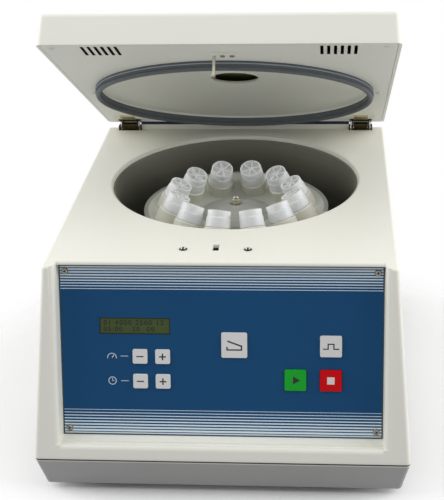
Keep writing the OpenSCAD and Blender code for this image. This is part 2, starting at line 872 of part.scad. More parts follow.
module power_rocker() {
    color(rubber_black) at_switch() translate([0, 0, -rocker_sink]) rotate([0, rocker_tilt, 0]) {
        rotate([90, 0, 0]) linear_extrude(rocker_w, center = true) polygon([
            [-rocker_l / 2, rocker_high], [0, rocker_dip], [rocker_l / 2, rocker_high],
            [rocker_l / 2, -rocker_low], [0, -rocker_keel], [-rocker_l / 2, -rocker_low]
        ]);
        rotate([90, 0, 0]) cylinder(r = rocker_pin_r, h = rocker_w + 2 * rocker_pin_out, center = true);
    }
}

// Steel plate on four legs that carries the bowl and the guard ring
module support_frame() {
    color(steel) place() {
        ring(tray_hole_r, guard_r + guard_t + sheet_lap, tray_z, tray_t);
        for (x = [-1, 1], y = [-1, 1])
            translate([x * leg_circle * sin(45), y * leg_circle * sin(45), floor_z])
                cylinder(r = leg_r, h = tray_z - floor_z);
    }
}

module chamber_bowl() {
    r_out = bowl_r + bowl_t;
    top = body_h - collar_h;
    z0 = bowl_floor_z;
    hole_r = 26;
    steps = 8;
    color(dark_steel) place() rotate_extrude($fn = 96) polygon(concat(
        [[hole_r, z0]],
        [for (i = [0 : steps]) let (a = -90 + i * 90 / steps)
            [r_out - bowl_round + bowl_round * cos(a), z0 + bowl_round + bowl_round * sin(a)]],
        [[r_out, top - bowl_t], [r_out + bowl_flange, top - bowl_t]],
        [[r_out + bowl_flange, top], [bowl_r, top]],
        [for (i = [0 : steps]) let (a = -i * 90 / steps, r = bowl_round - bowl_t)
            [r_out - bowl_round + r * cos(a), z0 + bowl_round + r * sin(a)]],
        [[hole_r, z0 + bowl_t]]
    ));
}

module guard_ring() {
    color(steel) place() ring(guard_r, guard_r + guard_t, bowl_floor_z, body_h - guard_drop - bowl_floor_z);
}

module motor_bracket() {
    color(steel) place() difference() {
        ring(motor_r + slide_gap, damper_circle + damper_r + sheet_lap, bracket_z, bracket_t);
        at_dampers() translate([0, 0, bracket_z - cut]) cylinder(r = screw_r, h = bracket_t + 2 * cut);
    }
}

module vibration_dampers() {
    neck = 2;
    end_h = 4;
    color(rubber_black) place() at_dampers() translate([0, 0, bracket_z - damper_h]) rotate_extrude()
        polygon([
            [0, 0], [damper_r, 0], [damper_r, end_h], [damper_r - neck, damper_h / 2],
            [damper_r, damper_h - end_h], [damper_r, damper_h], [0, damper_h]
        ]);
}

module motor_can() {
    seat_r_out = 22;
    color(dark_steel) place() difference() {
        union() {
            ring(motor_r - motor_wall, motor_r, can_z, bell_z - can_z);
            translate([0, 0, can_z]) cylinder(r = motor_r - cut, h = motor_wall);
            translate([0, 0, can_z + cut]) cylinder(r = seat_r_out, h = motor_wall + bearing_h - cut);
        }
        translate([0, 0, can_z + motor_wall]) cylinder(r = bearing_r, h = bearing_h + cut);
    }
}

module motor_end_bell() {
    shaft_room = 1;
    color(aluminium) place() difference() {
        union() {
            translate([0, 0, bell_z]) cylinder(r = bell_r, h = bell_t);
            translate([0, 0, bell_z]) cylinder(r = boss_r, h = boss_top - bell_z);
        }
        translate([0, 0, bell_z - cut]) cylinder(r = bearing_r, h = boss_top - bell_z - bearing_lip + cut);
        translate([0, 0, bell_z]) cylinder(r = shaft_r + shaft_room, h = boss_top);
    }
}

module motor_stator() {
    z0 = can_z + motor_wall + bearing_h + stator_gap;
    top = bell_z - armature_gap;
    color("#7b4a2c") place() ring(stator_in_r, motor_r - motor_wall - seat_gap, z0, top - z0);
}

module motor_bearings() {
    color(steel) place() {
        ring(shaft_r + turn_gap, bearing_r - seat_gap, can_z + motor_wall, bearing_h);
        ring(shaft_r + turn_gap, bearing_r - seat_gap, boss_top - bearing_lip - bearing_h, bearing_h);
    }
}

// Rubber boot that closes the bowl's floor round the shaft
module shaft_boot() {
    lip = 2;
    flare = 1.5;
    rim = 9;
    neck_t = 3;
    neck_h = 6;
    shaft_room = 0.8;
    r_in = shaft_r + shaft_room;
    floor_top = bowl_floor_z + bowl_t;
    neck_top = floor_top + lip + neck_h;
    color(rubber_black) place() rotate_extrude() polygon([
        [r_in, boss_top], [boss_r, boss_top], [boss_r + flare, floor_top], [boss_r + rim, floor_top],
        [boss_r + rim, floor_top + lip], [r_in + neck_t, neck_top], [r_in, neck_top]
    ]);
}

// Drive electronics on pillars on the floor of the base pan
board_at = [-150, -front_low_d + 62];
board_size = [106, 74];
pillar_h = 8;
module power_board() {
    pillar_in = 6;
    pillar_r_in = 3;
    capacitors = [[22, 24], [48, 24]];
    capacitor_r = 11;
    capacitor_h = 32;
    heat_sink_at = [68, 10];
    heat_sink = [28, 54, 26];
    color(board_green) place() translate([board_at[0], board_at[1], floor_z]) {
        translate([0, 0, pillar_h]) cube([board_size[0], board_size[1], board_t]);
        for (x = [pillar_in, board_size[0] - pillar_in], y = [pillar_in, board_size[1] - pillar_in])
            translate([x, y, 0]) cylinder(r = pillar_r_in, h = pillar_h);
        for (c = capacitors) translate([c[0], c[1], pillar_h + board_t])
            cylinder(r = capacitor_r, h = capacitor_h);
        translate([heat_sink_at[0], heat_sink_at[1], pillar_h + board_t]) cube(heat_sink);
    }
}

module transformer() {
    size = [72, 62, 54];
    at = [52, -front_low_d + 68];
    coil_in = 8;
    coil_out = 6;
    hole_in = 5;
    color(steel) place() translate([at[0], at[1], floor_z]) difference() {
        union() {
            cube(size);
            translate([coil_in, -coil_out, coil_in])
                cube([size[0] - 2 * coil_in, size[1] + 2 * coil_out, size[2] - 2 * coil_in]);
        }
        for (x = [hole_in, size[0] - hole_in], y = [hole_in, size[1] - hole_in])
            translate([x, y, -cut]) cylinder(r = screw_r, h = size[2] + 2 * cut);
    }
}

module motor_shaft() {
    stud_sunk = 1.5;
    stud_top = well_z + washer_t + nut_h - stud_sunk;
    shaft_low = can_z + motor_wall + slide_gap;
    color(steel) place() {
        translate([0, 0, shaft_low]) cylinder(r = shaft_r, h = disc_z - seat_gap - shaft_low);
        translate([0, 0, disc_z - cut]) cylinder(r = stud_r, h = stud_top - disc_z + cut);
    }
}

module motor_armature() {
    z0 = can_z + motor_wall + bearing_h + armature_gap;
    top = bell_z - 2 * stator_gap;
    color("#4d4f52") place() ring(shaft_r + seat_gap, stator_in_r - 2 * slide_gap, z0, top - z0);
}

// Turned rotor head: a cone with slanted bores for the sleeves, round a raised disc with a well for the nut
module rotor_head() {
    rim_t = 7;
    web = 12;
    flare = 14;
    foot_r = disc_r + 2;
    foot_z = cone_z(foot_r);
    skirt_r = rotor_r - web;
    bore_r = shaft_r + seat_gap;
    hole_r = stud_r + seat_gap;
    color(aluminium) difference() {
        place() rotate_extrude($fn = 96) polygon([
            [bore_r, hub_bottom], [hub_r, hub_bottom],
            [hub_r, foot_z - web - flare], [hub_r + flare, foot_z - web],
            [skirt_r, cone_z(skirt_r) - web], [rotor_r, rim_z - rim_t], [rotor_r, rim_z], [cone_r, rim_z],
            [foot_r, foot_z], [disc_r, disc_z], [hub_top_r, hub_top_z], [well_r, hub_top_z], [well_r, well_z],
            [hole_r, well_z], [hole_r, disc_z], [bore_r, disc_z]
        ]);
        each_tube() translate([0, 0, -sleeve_start - sleeve_len])
            cylinder(r = sleeve_r + seat_gap, h = 2 * sleeve_len);
        each_tube() translate([0, 0, -seat_at]) cylinder(r = sleeve_collar_r + seat_gap, h = sleeve_len);
    }
}

module rotor_washer() {
    color(steel) place() ring(stud_r + seat_gap, washer_r, well_z, washer_t);
}

// Turned rotor nut with a flange under its knob
module rotor_nut() {
    z0 = well_z + washer_t;
    top = z0 + nut_h;
    body_r = 4.2;
    flange_r = 4.7;
    flange_h = 1.4;
    knob_r = 3.4;
    knob_h = 2.4;
    slope = 0.4;
    edge = 0.5;
    flange_top = top - knob_h - slope;
    color(brass) place() rotate_extrude() polygon([
        [stud_r + seat_gap, z0], [body_r, z0], [body_r, flange_top - flange_h - slope],
        [flange_r, flange_top - flange_h], [flange_r, flange_top], [knob_r, top - knob_h],
        [knob_r, top - edge], [knob_r - edge, top], [stud_r + seat_gap, top]
    ]);
}

module tube_sleeves() {
    roll = 0.8;
    color("#c4c2b2") each_tube() translate([0, 0, -sleeve_start]) rotate_extrude() polygon([
        [sleeve_in_r, 0], [sleeve_collar_r - roll, 0], [sleeve_collar_r, -roll],
        [sleeve_collar_r, -sleeve_collar_h], [sleeve_r, -sleeve_collar_h],
        [sleeve_r, -sleeve_len + sleeve_r / 2], [sleeve_r / 2, -sleeve_len],
        [0, -sleeve_len], [0, -sleeve_len + sleeve_floor], [sleeve_in_r / 2, -sleeve_len + sleeve_floor],
        [sleeve_in_r, -sleeve_len + sleeve_r / 2 + sleeve_floor / 2]
    ]);
}

// Tubes with a conical bottom, standing up into the caps
module sample_tubes() {
    cone = tube_r;
    top = -cap_h + tube_in_cap;
    low = top - tube_len;
    tip = 2.5;
    color("#e8ecee") each_tube() rotate_extrude() polygon([
        [tube_r, top], [tube_r, low + cone], [tip, low], [0, low], [0, low + tube_wall],
        [tip, low + tube_wall], [tube_r - tube_wall, low + cone], [tube_r - tube_wall, top]
    ]);
}

// Caps with a spoked recess on top and a wider skirt
module tube_caps() {
    color("#f4f6f6") each_tube() difference() {
        union() {
            translate([0, 0, -cap_h]) cylinder(r = cap_r, h = cap_h);
            translate([0, 0, -cap_h])
                cylinder(r1 = cap_skirt_r, r2 = cap_skirt_r - cap_taper, h = cap_skirt_h);
        }
        translate([0, 0, -cap_h - cut]) cylinder(r = tube_r + seat_gap, h = tube_in_cap + cut + seat_gap);
        difference() {
            translate([0, 0, -cap_recess]) cylinder(r = cap_r - cap_lip, h = cap_recess + cut);
            translate([0, 0, -cap_recess - cut])
                cylinder(r = cap_hub_r, h = cap_recess + cut - cap_spoke_drop);
            for (i = [0 : cap_spokes - 1]) rotate([0, 0, i * 360 / cap_spokes])
                translate([0, -cap_spoke_w / 2, -cap_recess - cut])
                    cube([cap_r, cap_spoke_w, cap_recess + cut - cap_spoke_drop]);
        }
    }
}

module control_panel() {
    color(panel_blue) on_panel() difference() {
        translate([-panel_w / 2, panel_gap, -panel_t]) cube([panel_w, panel_len, panel_t]);
        for (k = KEYS) translate([k[0], k[1], -panel_t - cut]) linear_extrude(panel_t + 2 * cut)
            round_rect(k[2] + 2 * slide_gap, k[2] + 2 * slide_gap, key_corner + slide_gap);
        translate([display_at[0], display_at[1], -panel_t - cut]) linear_extrude(panel_t + 2 * cut)
            square([display_w + 2 * seat_gap, display_h + 2 * seat_gap], center = true);
        for (x = [-1, 1], v = [screw_low, panel_len - screw_high])
            translate([x * (panel_w / 2 - screw_in), v, -panel_t - cut])
                cylinder(r = screw_r + seat_gap, h = panel_t + 2 * cut);
    }
}

module panel_screws() {
    color(steel) on_panel() for (x = [-1, 1], v = [screw_low, panel_len - screw_high])
        translate([x * (panel_w / 2 - screw_in), v, 0]) {
            difference() {
                cylinder(r1 = screw_head_r, r2 = screw_head_r - screw_head_slope, h = screw_head_h);
                translate([0, 0, screw_head_h]) cross_recess(recess_depth, 20);
            }
            translate([0, 0, -panel_t - flange_t]) cylinder(r = screw_r, h = panel_t + flange_t + cut / 2);
        }
}

module display_window() {
    color("#6f7a2a") on_panel() translate([display_at[0], display_at[1], -panel_t])
        linear_extrude(display_t) square([display_w, display_h], center = true);
}

module display_module() {
    bezel_lap = [4, 9];
    bezel = [display_w + bezel_lap[0], display_h + bezel_lap[1]];
    card = [80, 36];
    bezel_t = 5;
    color("#3c4038") on_panel() translate([display_at[0], display_at[1], 0]) {
        translate([0, 0, -panel_t - bezel_t]) linear_extrude(bezel_t) square(bezel, center = true);
        translate([0, 0, -panel_t - bezel_t - board_t]) linear_extrude(board_t) square(card, center = true);
    }
}

module control_board() {
    color(board_green) on_panel() difference() {
        translate([-board_w / 2, board_low, board_n - board_t])
            cube([board_w, board_high - board_low, board_t]);
        for (s = STANDOFFS) translate([s[0], s[1], board_n - board_t - cut])
            cylinder(r = screw_r, h = board_t + 2 * cut);
    }
}

module board_standoffs() {
    color(steel) on_panel() for (s = STANDOFFS)
        translate([s[0], s[1], board_n]) cylinder(r = standoff_r, h = board_gap, $fn = 6);
}

module key_switches() {
    color("#303234") on_panel() for (k = KEYS) translate([k[0], k[1], board_n]) {
        translate([-switch_w / 2, -switch_w / 2, 0]) cube([switch_w, switch_w, switch_h]);
    }
}

// Push key: a square cap through the panel, a flange behind it and a stem on its switch
module push_key(at, size) {
    flange_n = -panel_t - slide_gap - key_flange_t;
    stem_n = board_n + switch_h + key_travel + slide_gap;
    on_panel() translate([at[0], at[1], 0]) {
        translate([0, 0, flange_n]) linear_extrude(key_proud - flange_n) round_rect(size, size, key_corner);
        translate([0, 0, flange_n]) linear_extrude(key_flange_t)
            round_rect(size + 2 * key_flange, size + 2 * key_flange, key_corner);
        translate([0, 0, stem_n]) cylinder(r = key_stem_r, h = flange_n - stem_n + cut);
    }
}

module speed_down_key() {
    color("#dcdedb") push_key([step_x1, step_row1], step_key);
}

module speed_up_key() {
    color("#dcdedb") push_key([step_x2, step_row1], step_key);
}

module time_down_key() {
    color("#dcdedb") push_key([step_x1, step_row2], step_key);
}

module time_up_key() {
    color("#dcdedb") push_key([step_x2, step_row2], step_key);
}

module lid_release_key() {
    color("#dcdedb") push_key(lid_key_at, lid_key);
}

module pulse_key() {
    color("#dcdedb") push_key([run_x2, run_row1], run_key);
}

module start_key() {
    color("#1fa53a") push_key([run_x1, run_row2], run_key);
}

module stop_key() {
    color("#c4161c") push_key([run_x2, run_row2], run_key);
}

// Lock under the slot: a plate hung from the top face and a guide block for the bolt
module lock_body() {
    plate_lap = 8;
    block_floor = 3;
    left = lock_x - lock_screw_span - plate_lap;
    block = [block_left + block_right, slot_l + 2 * block_back, lock_plate_z - foot_top + block_drop];
    block_x = lock_x - block_left;
    solenoid_x = bolt_tip + bolt_len + solenoid_gap;
    color(dark_steel) place() difference() {
        union() {
            translate([left, lock_y - lock_plate_w / 2, lock_plate_z])
                cube([solenoid_x + solenoid_len - left, lock_plate_w, lock_plate_t]);
            translate([block_x, lock_y - block[1] / 2, lock_plate_z - block[2]])
                cube([block[0], block[1], block[2] + cut]);
        }
        translate([lock_x - slot_w / 2, lock_y - slot_l / 2, lock_plate_z - block[2] + block_floor])
            cube([slot_w, slot_l, block[2] + 2 * lock_plate_t]);
        translate([bolt_tip - bolt_travel - slide_gap, bolt_y - slide_gap, bolt_z - slide_gap])
            cube([block[0], bolt_w + 2 * slide_gap, bolt_t + 2 * slide_gap]);
        for (x = [-1, 1]) translate([lock_x + x * lock_screw_span, lock_screw_y, lock_plate_z - cut])
            cylinder(r = screw_r + seat_gap, h = lock_plate_t + 2 * cut);
    }
}

module lock_screws() {
    head_r = 4;
    head_h = 1.2;
    head_slope = 1;
    slot = [1, 2 * head_r, 0.7];
    color(steel) place() for (x = [-1, 1]) translate([lock_x + x * lock_screw_span, lock_screw_y, body_h]) {
        difference() {
            cylinder(r1 = head_r, r2 = head_r - head_slope, h = head_h);
            translate([-slot[0] / 2, -slot[1] / 2, head_h - slot[2]]) cube([slot[0], slot[1], slot[2] + cut]);
        }
        translate([0, 0, lock_plate_z - body_h]) cylinder(r = screw_r, h = body_h - lock_plate_z);
    }
}

module lock_solenoid() {
    x0 = bolt_tip + bolt_len + solenoid_gap;
    y0 = bolt_y + bolt_w / 2;
    low = plunger_z - solenoid_w / 2;
    color("#8c6a2c") place() difference() {
        translate([x0, y0 - solenoid_w / 2, low]) cube([solenoid_len, solenoid_w, lock_plate_z - low]);
        translate([x0 - cut, y0, plunger_z]) rotate([0, 90, 0])
            cylinder(r = plunger_r + turn_gap, h = plunger_len + cut);
    }
}

// Sliding bolt with a tab and the solenoid's plunger, drawn back from the hook
module lock_bolt() {
    x_tab = bolt_tip + bolt_len;
    color(steel) place() {
        translate([bolt_tip, bolt_y, bolt_z]) cube([bolt_len, bolt_w, bolt_t]);
        translate([x_tab - bolt_tab_t, bolt_y, bolt_z + bolt_t - bolt_tab_drop])
            cube([bolt_tab_t, bolt_w, bolt_tab_drop]);
        translate([x_tab - bolt_tab_t / 2, bolt_y + bolt_w / 2, plunger_z]) rotate([0, 90, 0])
            cylinder(r = plunger_r, h = plunger_len);
    }
}

// Hinge brackets on the back wall, each with a barrel on the hinge axis
module hinge_brackets() {
    plate_back = back_d - wall - facet_gap;
    plate_low = body_h - notch_depth - bracket_drop - bracket_plate_h;
    color(brass) place() for (x = [-1, 1]) translate([x * hinge_x, 0, 0]) difference() {
        union() {
            translate([0, hinge_y, hinge_z]) rotate([0, 90, 0])
                cylinder(r = barrel_r, h = barrel_w, center = true);
            translate([-barrel_w / 2, hinge_y - barrel_r, plate_low])
                cube([barrel_w, plate_back - hinge_y + barrel_r, hinge_z - plate_low]);
            translate([-notch_w / 2, plate_back - bracket_plate_t, plate_low])
                cube([notch_w, bracket_plate_t, bracket_plate_h]);
        }
        translate([0, hinge_y, hinge_z]) rotate([0, 90, 0])
            cylinder(r = hinge_pin_r + seat_gap, h = 2 * barrel_w, center = true);
    }
}

module hinge_pins() {
    pin_l = barrel_w + 2 * (slide_gap + ear_t + pin_end);
    color(steel) place() for (x = [-1, 1]) translate([x * hinge_x, hinge_y, hinge_z]) rotate([0, 90, 0])
        cylinder(r = hinge_pin_r, h = pin_l, center = true);
}

// Hinge leaves under the lid's inner plate, with a long tongue and an ear on each side of the barrel
module hinge_leaves() {
    ear_x = barrel_w / 2 + slide_gap;
    color(steel) on_lid() for (x = [-1, 1]) translate([x * hinge_x, hinge_y, 0]) difference() {
        union() {
            translate([-leaf_w / 2, -leaf_front, lid_z - leaf_t])
                cube([leaf_w, leaf_front + leaf_back, leaf_t]);
            translate([-barrel_w / 2, -leaf_front - tongue, lid_z - leaf_t])
                cube([barrel_w, tongue + cut, leaf_t]);
            for (s = [-1, 1]) translate([s > 0 ? ear_x : -ear_x - ear_t, 0, 0]) {
                translate([0, 0, hinge_z]) rotate([0, 90, 0]) cylinder(r = ear_r, h = ear_t);
                translate([0, -ear_r, hinge_z]) cube([ear_t, 2 * ear_r, lid_z - hinge_z]);
            }
        }
        translate([0, 0, hinge_z]) rotate([0, 90, 0])
            cylinder(r = hinge_pin_r + turn_gap, h = 2 * leaf_w, center = true);
    }
}

// Outer form of the lid, drawn in by an inset
module lid_form(inset, below) {
    hull() {
        for (x = [-1, 1], y = [lid_front + lid_corner_r, lid_back - lid_corner_r])
            translate([x * (lid_w / 2 - lid_corner_r), y, lid_z - below])
                cylinder(r = lid_corner_r - inset, h = lid_rim_h + below, $fn = hull_fn);
        for (x = [-1, 1], y = [lid_front + lid_draft + lid_edge_r, lid_back - lid_draft - lid_edge_r])
            translate([x * (lid_w / 2 - lid_draft - lid_edge_r), y, lid_top - lid_edge_r])
                sphere(r = lid_edge_r - inset, $fn = hull_fn);
    }
}

// Screws round the lid's inner plate
lid_screw_in = 13;
lid_screw_rear = 33;
lid_screw_mid = 1;
lid_screw_len = 12;
lid_drill = 14;
lid_boss_r = 4;
module at_lid_screws() {
    front = lid_front + lid_screw_in;
    back = lid_back - lid_screw_rear;
    side = lid_w / 2 - lid_screw_in;
    for (x = [-side, side], y = [front, 0, back]) translate([x, y, 0]) children();
    translate([lid_screw_mid, front, 0]) children();
}

module lid_shell() {
    color(cream) on_lid() difference() {
        union() {
            difference() {
                lid_form(0, 0);
                lid_form(lid_wall, cut);
            }
            at_lid_screws() translate([0, 0, lid_z + lid_plate_t])
                cylinder(r = lid_boss_r, h = lid_t - lid_plate_t - cut);
        }
        at_lid_screws() translate([0, 0, lid_z]) cylinder(r = screw_r + seat_gap, h = lid_drill);
    }
}

// Air slots in the lid's inner plate
vent_count = 6;
vent_pitch = 6.2;
vent_x = 109.6;
vent_front = 8.2;
module lid_inner_plate() {
    inner_w = lid_w - 2 * lid_wall - 2 * lid_fit;
    inner_l = lid_len - 2 * lid_wall - 2 * lid_fit;
    color(grey_cream) on_lid() difference() {
        translate([0, (lid_front + lid_back) / 2, lid_z]) linear_extrude(lid_plate_t)
            round_rect(inner_w, inner_l, lid_corner_r - lid_wall);
        translate([0, 0, lid_z - cut]) cylinder(r = dish_r, h = lid_plate_t + 2 * cut);
        for (x = [-1, 1], i = [0 : vent_count - 1])
            translate([x * vent_x + (i - (vent_count - 1) / 2) * vent_pitch, lid_front + vent_front, 0])
                translate([-vent_w / 2, 0, lid_z - cut]) cube([vent_w, vent_len, lid_plate_t + 2 * cut]);
        at_lid_screws() translate([0, 0, lid_z - cut])
            cylinder(r = screw_r + seat_gap, h = lid_plate_t + 2 * cut);
    }
}

// Pressed dish with an air hole, on the inner plate
module lid_dish() {
    z0 = lid_z + lid_plate_t;
    steps = 10;
    rise = function (r) dish_depth - dish_sphere_r + sqrt(dish_sphere_r * dish_sphere_r - r * r);
    radii = [for (i = [0 : steps]) dish_r + (air_hole_r - dish_r) * i / steps];
    color(grey_cream) on_lid() rotate_extrude($fn = 96) polygon(concat(
        [[dish_r + dish_flange, z0]],
        [for (r = radii) [r, z0 + rise(r)]],
        [for (i = [steps : -1 : 0]) [radii[i] + dish_t / 4, z0 + rise(radii[i]) + dish_t]],
        [[dish_r + dish_flange, z0 + dish_t]]
    ));
}

// Ring seal with a base band and a round lip
module lid_seal() {
    bulb_in = 0.4;
    neck_in = 0.5;
    bulb_r = seal_w / 2 - bulb_in;
    band_h = seal_h - 2 * bulb_r + cut;
    mid = seal_r - seal_w / 2;
    color("#4b555d") on_lid() rotate_extrude($fn = 96) {
        translate([seal_r - seal_w, lid_z - band_h]) square([seal_w, band_h]);
        translate([mid, lid_z - seal_h + bulb_r]) circle(bulb_r);
        translate([mid - bulb_r + neck_in, lid_z - seal_h + bulb_r])
            square([2 * (bulb_r - neck_in), bulb_r]);
    }
}

module lid_screws() {
    head_r = 3;
    head_h = 1;
    color(steel) on_lid() at_lid_screws() {
        translate([0, 0, lid_z - head_h]) difference() {
            cylinder(r1 = head_r - screw_head_slope, r2 = head_r, h = head_h);
            rotate([180, 0, 0]) cross_recess(head_h / 2, 0);
        }
        translate([0, 0, lid_z]) cylinder(r = screw_r, h = lid_screw_len);
    }
}

// Striker: a small plate screwed under the lid and a wire hook with a foot
module striker_plate() {
    color(steel) on_lid() difference() {
        translate([lock_x - hook_r - striker_edge, striker_y - striker_l / 2, lid_z - striker_t])
            cube([striker_w, striker_l, striker_t]);
        translate([lock_x, hook_y, lid_z - striker_t - cut])
            cylinder(r = hook_r + seat_gap, h = striker_t + 2 * cut);
        for (x = striker_holes) translate([lock_x + x, striker_y, lid_z - striker_t - cut])
            cylinder(r = screw_r, h = striker_t + 2 * cut);
    }
}

module striker_hook() {
    color(steel) on_lid() {
        translate([lock_x, hook_y, foot_top - cut]) cylinder(r = hook_r, h = lid_z - foot_top + cut);
        translate([lock_x - hook_r, hook_y - foot_front, lid_z - hook_len])
            cube([2 * hook_r, foot_front + foot_back, foot_h_hook]);
    }
}

base_pan();
rubber_feet();
main_housing();
housing_screws();
rear_plate();
rear_screws();
power_inlet();
inlet_pins();
fuse_holders();
switch_frame();
power_rocker();
support_frame();
chamber_bowl();
guard_ring();
motor_bracket();
vibration_dampers();
motor_can();
motor_end_bell();
motor_stator();
motor_bearings();
shaft_boot();
power_board();
transformer();
motor_shaft();
motor_armature();
rotor_head();
rotor_washer();
rotor_nut();
tube_sleeves();
sample_tubes();
tube_caps();
control_panel();
panel_screws();
display_window();
display_module();
control_board();
board_standoffs();
key_switches();
speed_down_key();
speed_up_key();
time_down_key();
time_up_key();
lid_release_key();
pulse_key();
start_key();
stop_key();
lock_body();
lock_screws();
lock_solenoid();
lock_bolt();
hinge_brackets();
hinge_pins();
hinge_leaves();
lid_shell();
lid_inner_plate();
lid_dish();
lid_seal();
lid_screws();
striker_plate();
striker_hook();
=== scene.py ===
import json
import math

import bpy
from mathutils import Matrix, Vector


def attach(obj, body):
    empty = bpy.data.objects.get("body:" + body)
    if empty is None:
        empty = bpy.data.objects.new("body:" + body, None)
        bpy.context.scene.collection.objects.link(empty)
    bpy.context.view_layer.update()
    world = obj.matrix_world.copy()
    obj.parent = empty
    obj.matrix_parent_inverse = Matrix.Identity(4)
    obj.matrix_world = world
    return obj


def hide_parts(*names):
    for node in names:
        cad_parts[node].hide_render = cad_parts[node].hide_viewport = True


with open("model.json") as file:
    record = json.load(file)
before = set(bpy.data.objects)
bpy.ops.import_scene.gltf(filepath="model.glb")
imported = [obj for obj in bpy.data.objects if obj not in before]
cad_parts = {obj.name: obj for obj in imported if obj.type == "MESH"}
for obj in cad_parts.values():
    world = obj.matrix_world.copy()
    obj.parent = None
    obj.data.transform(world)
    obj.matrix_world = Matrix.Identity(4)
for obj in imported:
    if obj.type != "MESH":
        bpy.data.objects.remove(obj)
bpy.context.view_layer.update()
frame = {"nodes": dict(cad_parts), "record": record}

# The photographer's view: a long lens a little above the machine and to its right, turned slightly.
# The angles and the place are the ones at which the photograph was taken.
mm = 0.001
# The rotor's axis, from which the machine's lengths are counted in y.
rotor_y = 43.067 * mm
eye = Vector((101.79 * mm, -1224.92 * mm + rotor_y, 720.87 * mm))
pitch, yaw, roll = math.radians(24.97), math.radians(-4.35), math.radians(1.52)
forward = Vector((math.sin(yaw) * math.cos(pitch), math.cos(yaw) * math.cos(pitch), -math.sin(pitch)))
level = Vector((math.cos(yaw), -math.sin(yaw), 0))
down = forward.cross(level)
right = level * math.cos(roll) + down * math.sin(roll)
below = down * math.cos(roll) - level * math.sin(roll)
lens = bpy.data.cameras.new("photo_view")
lens.sensor_width = 36
lens.lens = 88.05
lens.shift_x, lens.shift_y = -0.046, -0.016
lens.clip_start = 0.05
camera = bpy.data.objects.new("photo_view", lens)
bpy.context.scene.collection.objects.link(camera)
camera.matrix_world = Matrix.Translation(eye) @ Matrix((right, -below, -forward)).transposed().to_4x4()
bpy.context.scene.camera = camera
bpy.context.scene.view_settings.view_transform = "Standard"


# Studio: a pale bench top that fades into a white room, a soft lamp high on each side,
# and a soft lamp low on each side that reaches under the open lid.
def linear(code):
    # A colour written as #RRGGBB, in linear light.
    parts = [int(code[i:i + 2], 16) / 255 for i in (1, 3, 5)]
    return tuple(c / 12.92 if c < 0.04045 else ((c + 0.055) / 1.055) ** 2.4 for c in parts) + (1.0,)


def add(tree, kind, inputs=None, **settings):
    # A shader node. Each input is a plain value or another node's output.
    node = tree.nodes.new("ShaderNode" + kind)
    for name, value in settings.items():
        setattr(node, name, value)
    for name, value in (inputs or {}).items():
        if isinstance(value, bpy.types.NodeSocket):
            tree.links.new(value, node.inputs[name])
        else:
            node.inputs[name].default_value = value
    return node


def blank(name):
    # A new material, its node tree, and the output that tells the place on the piece.
    made = bpy.data.materials.new(name)
    made.use_nodes = True
    tree = made.node_tree
    tree.nodes.clear()
    return made, tree, add(tree, "TexCoord").outputs["Object"]


def larger(tree, first, second):
    return add(tree, "Math", {0: first, 1: second}, operation="MAXIMUM").outputs[0]


def seen_ray(tree):
    # 1 for what the camera sees, itself or in a mirror or through glass, and 0 for light that is thrown back.
    ray = add(tree, "LightPath").outputs
    seen = larger(tree, ray["Is Camera Ray"], ray["Is Glossy Ray"])
    return larger(tree, seen, ray["Is Transmission Ray"])


def blend(tree, share, first, second):
    # A colour between two. The Mix node takes colours at its sockets 6 and 7, and gives one at 2.
    return add(tree, "Mix", {0: share, 6: first, 7: second}, data_type="RGBA").outputs[2]


# To the eye the bench is white and keeps the machine's shadow. It throws back as much light as a grey one,
# and it is clear from below, so that the machine's underside can be seen.
bench_radius, fade_from, fade_to = 0.8, 0.23, 0.36
bench_paint, tree, spot = blank("matt_bench_paint")
reach = add(tree, "VectorMath", {0: spot}, operation="LENGTH").outputs["Value"]
fade = add(tree, "MapRange", {0: reach, 1: fade_from, 2: fade_to}, interpolation_type="SMOOTHSTEP")
matt = add(tree, "BsdfDiffuse", {"Color": blend(tree, seen_ray(tree), linear("#B4B4B2"), linear("#FDFDFC"))})
clear = add(tree, "BsdfTransparent")
open_part = larger(tree, fade.outputs[0], add(tree, "NewGeometry").outputs["Backfacing"])
both = add(tree, "MixShader", {0: open_part, 1: matt.outputs[0], 2: clear.outputs[0]})
add(tree, "OutputMaterial", {"Surface": both.outputs[0]})
bpy.ops.object.select_all(action="DESELECT")
bpy.ops.mesh.primitive_circle_add(vertices=64, radius=bench_radius, fill_type="NGON")
bench = bpy.context.object
bench.name = "bench_top"
bench.data.materials.append(bench_paint)

room = bpy.data.worlds.new("white_room")
bpy.context.scene.world = room
room.use_nodes = True
tree = room.node_tree
tree.nodes.clear()
fill = add(tree, "Background", {"Color": linear("#FAFBFF"), "Strength": 0.41})
white = add(tree, "Background", {"Color": (1, 1, 1, 1), "Strength": 1.0})
both = add(tree, "MixShader", {0: seen_ray(tree), 1: fill.outputs[0], 2: white.outputs[0]})
add(tree, "OutputWorld", {"Surface": both.outputs[0]})

for name, place, aim, size, power in (
    ("soft_left_lamp", (-2.7, 0.18, 1.15), (0, 0.1, 0.25), 1.8, 36.8),
    ("soft_right_lamp", (2.7, 0.18, 1.15), (0, 0.1, 0.25), 1.8, 38.2),
    ("soft_left_high_lamp", (-2.25, -0.6, 2.42), (0, 0.0, 0.25), 1.95, 31.2),
    ("soft_right_high_lamp", (2.25, -0.6, 2.42), (0, 0.0, 0.25), 1.95, 32.2),
):
    lamp = bpy.data.lights.new(name, "AREA")
    lamp.size = size
    lamp.energy = power
    stand = bpy.data.objects.new(name, lamp)
    bpy.context.scene.collection.objects.link(stand)
    turned_to = (Vector(aim) - Vector(place)).to_track_quat("-Z", "Y").to_matrix().to_4x4()
    stand.matrix_world = Matrix.Translation(place) @ turned_to


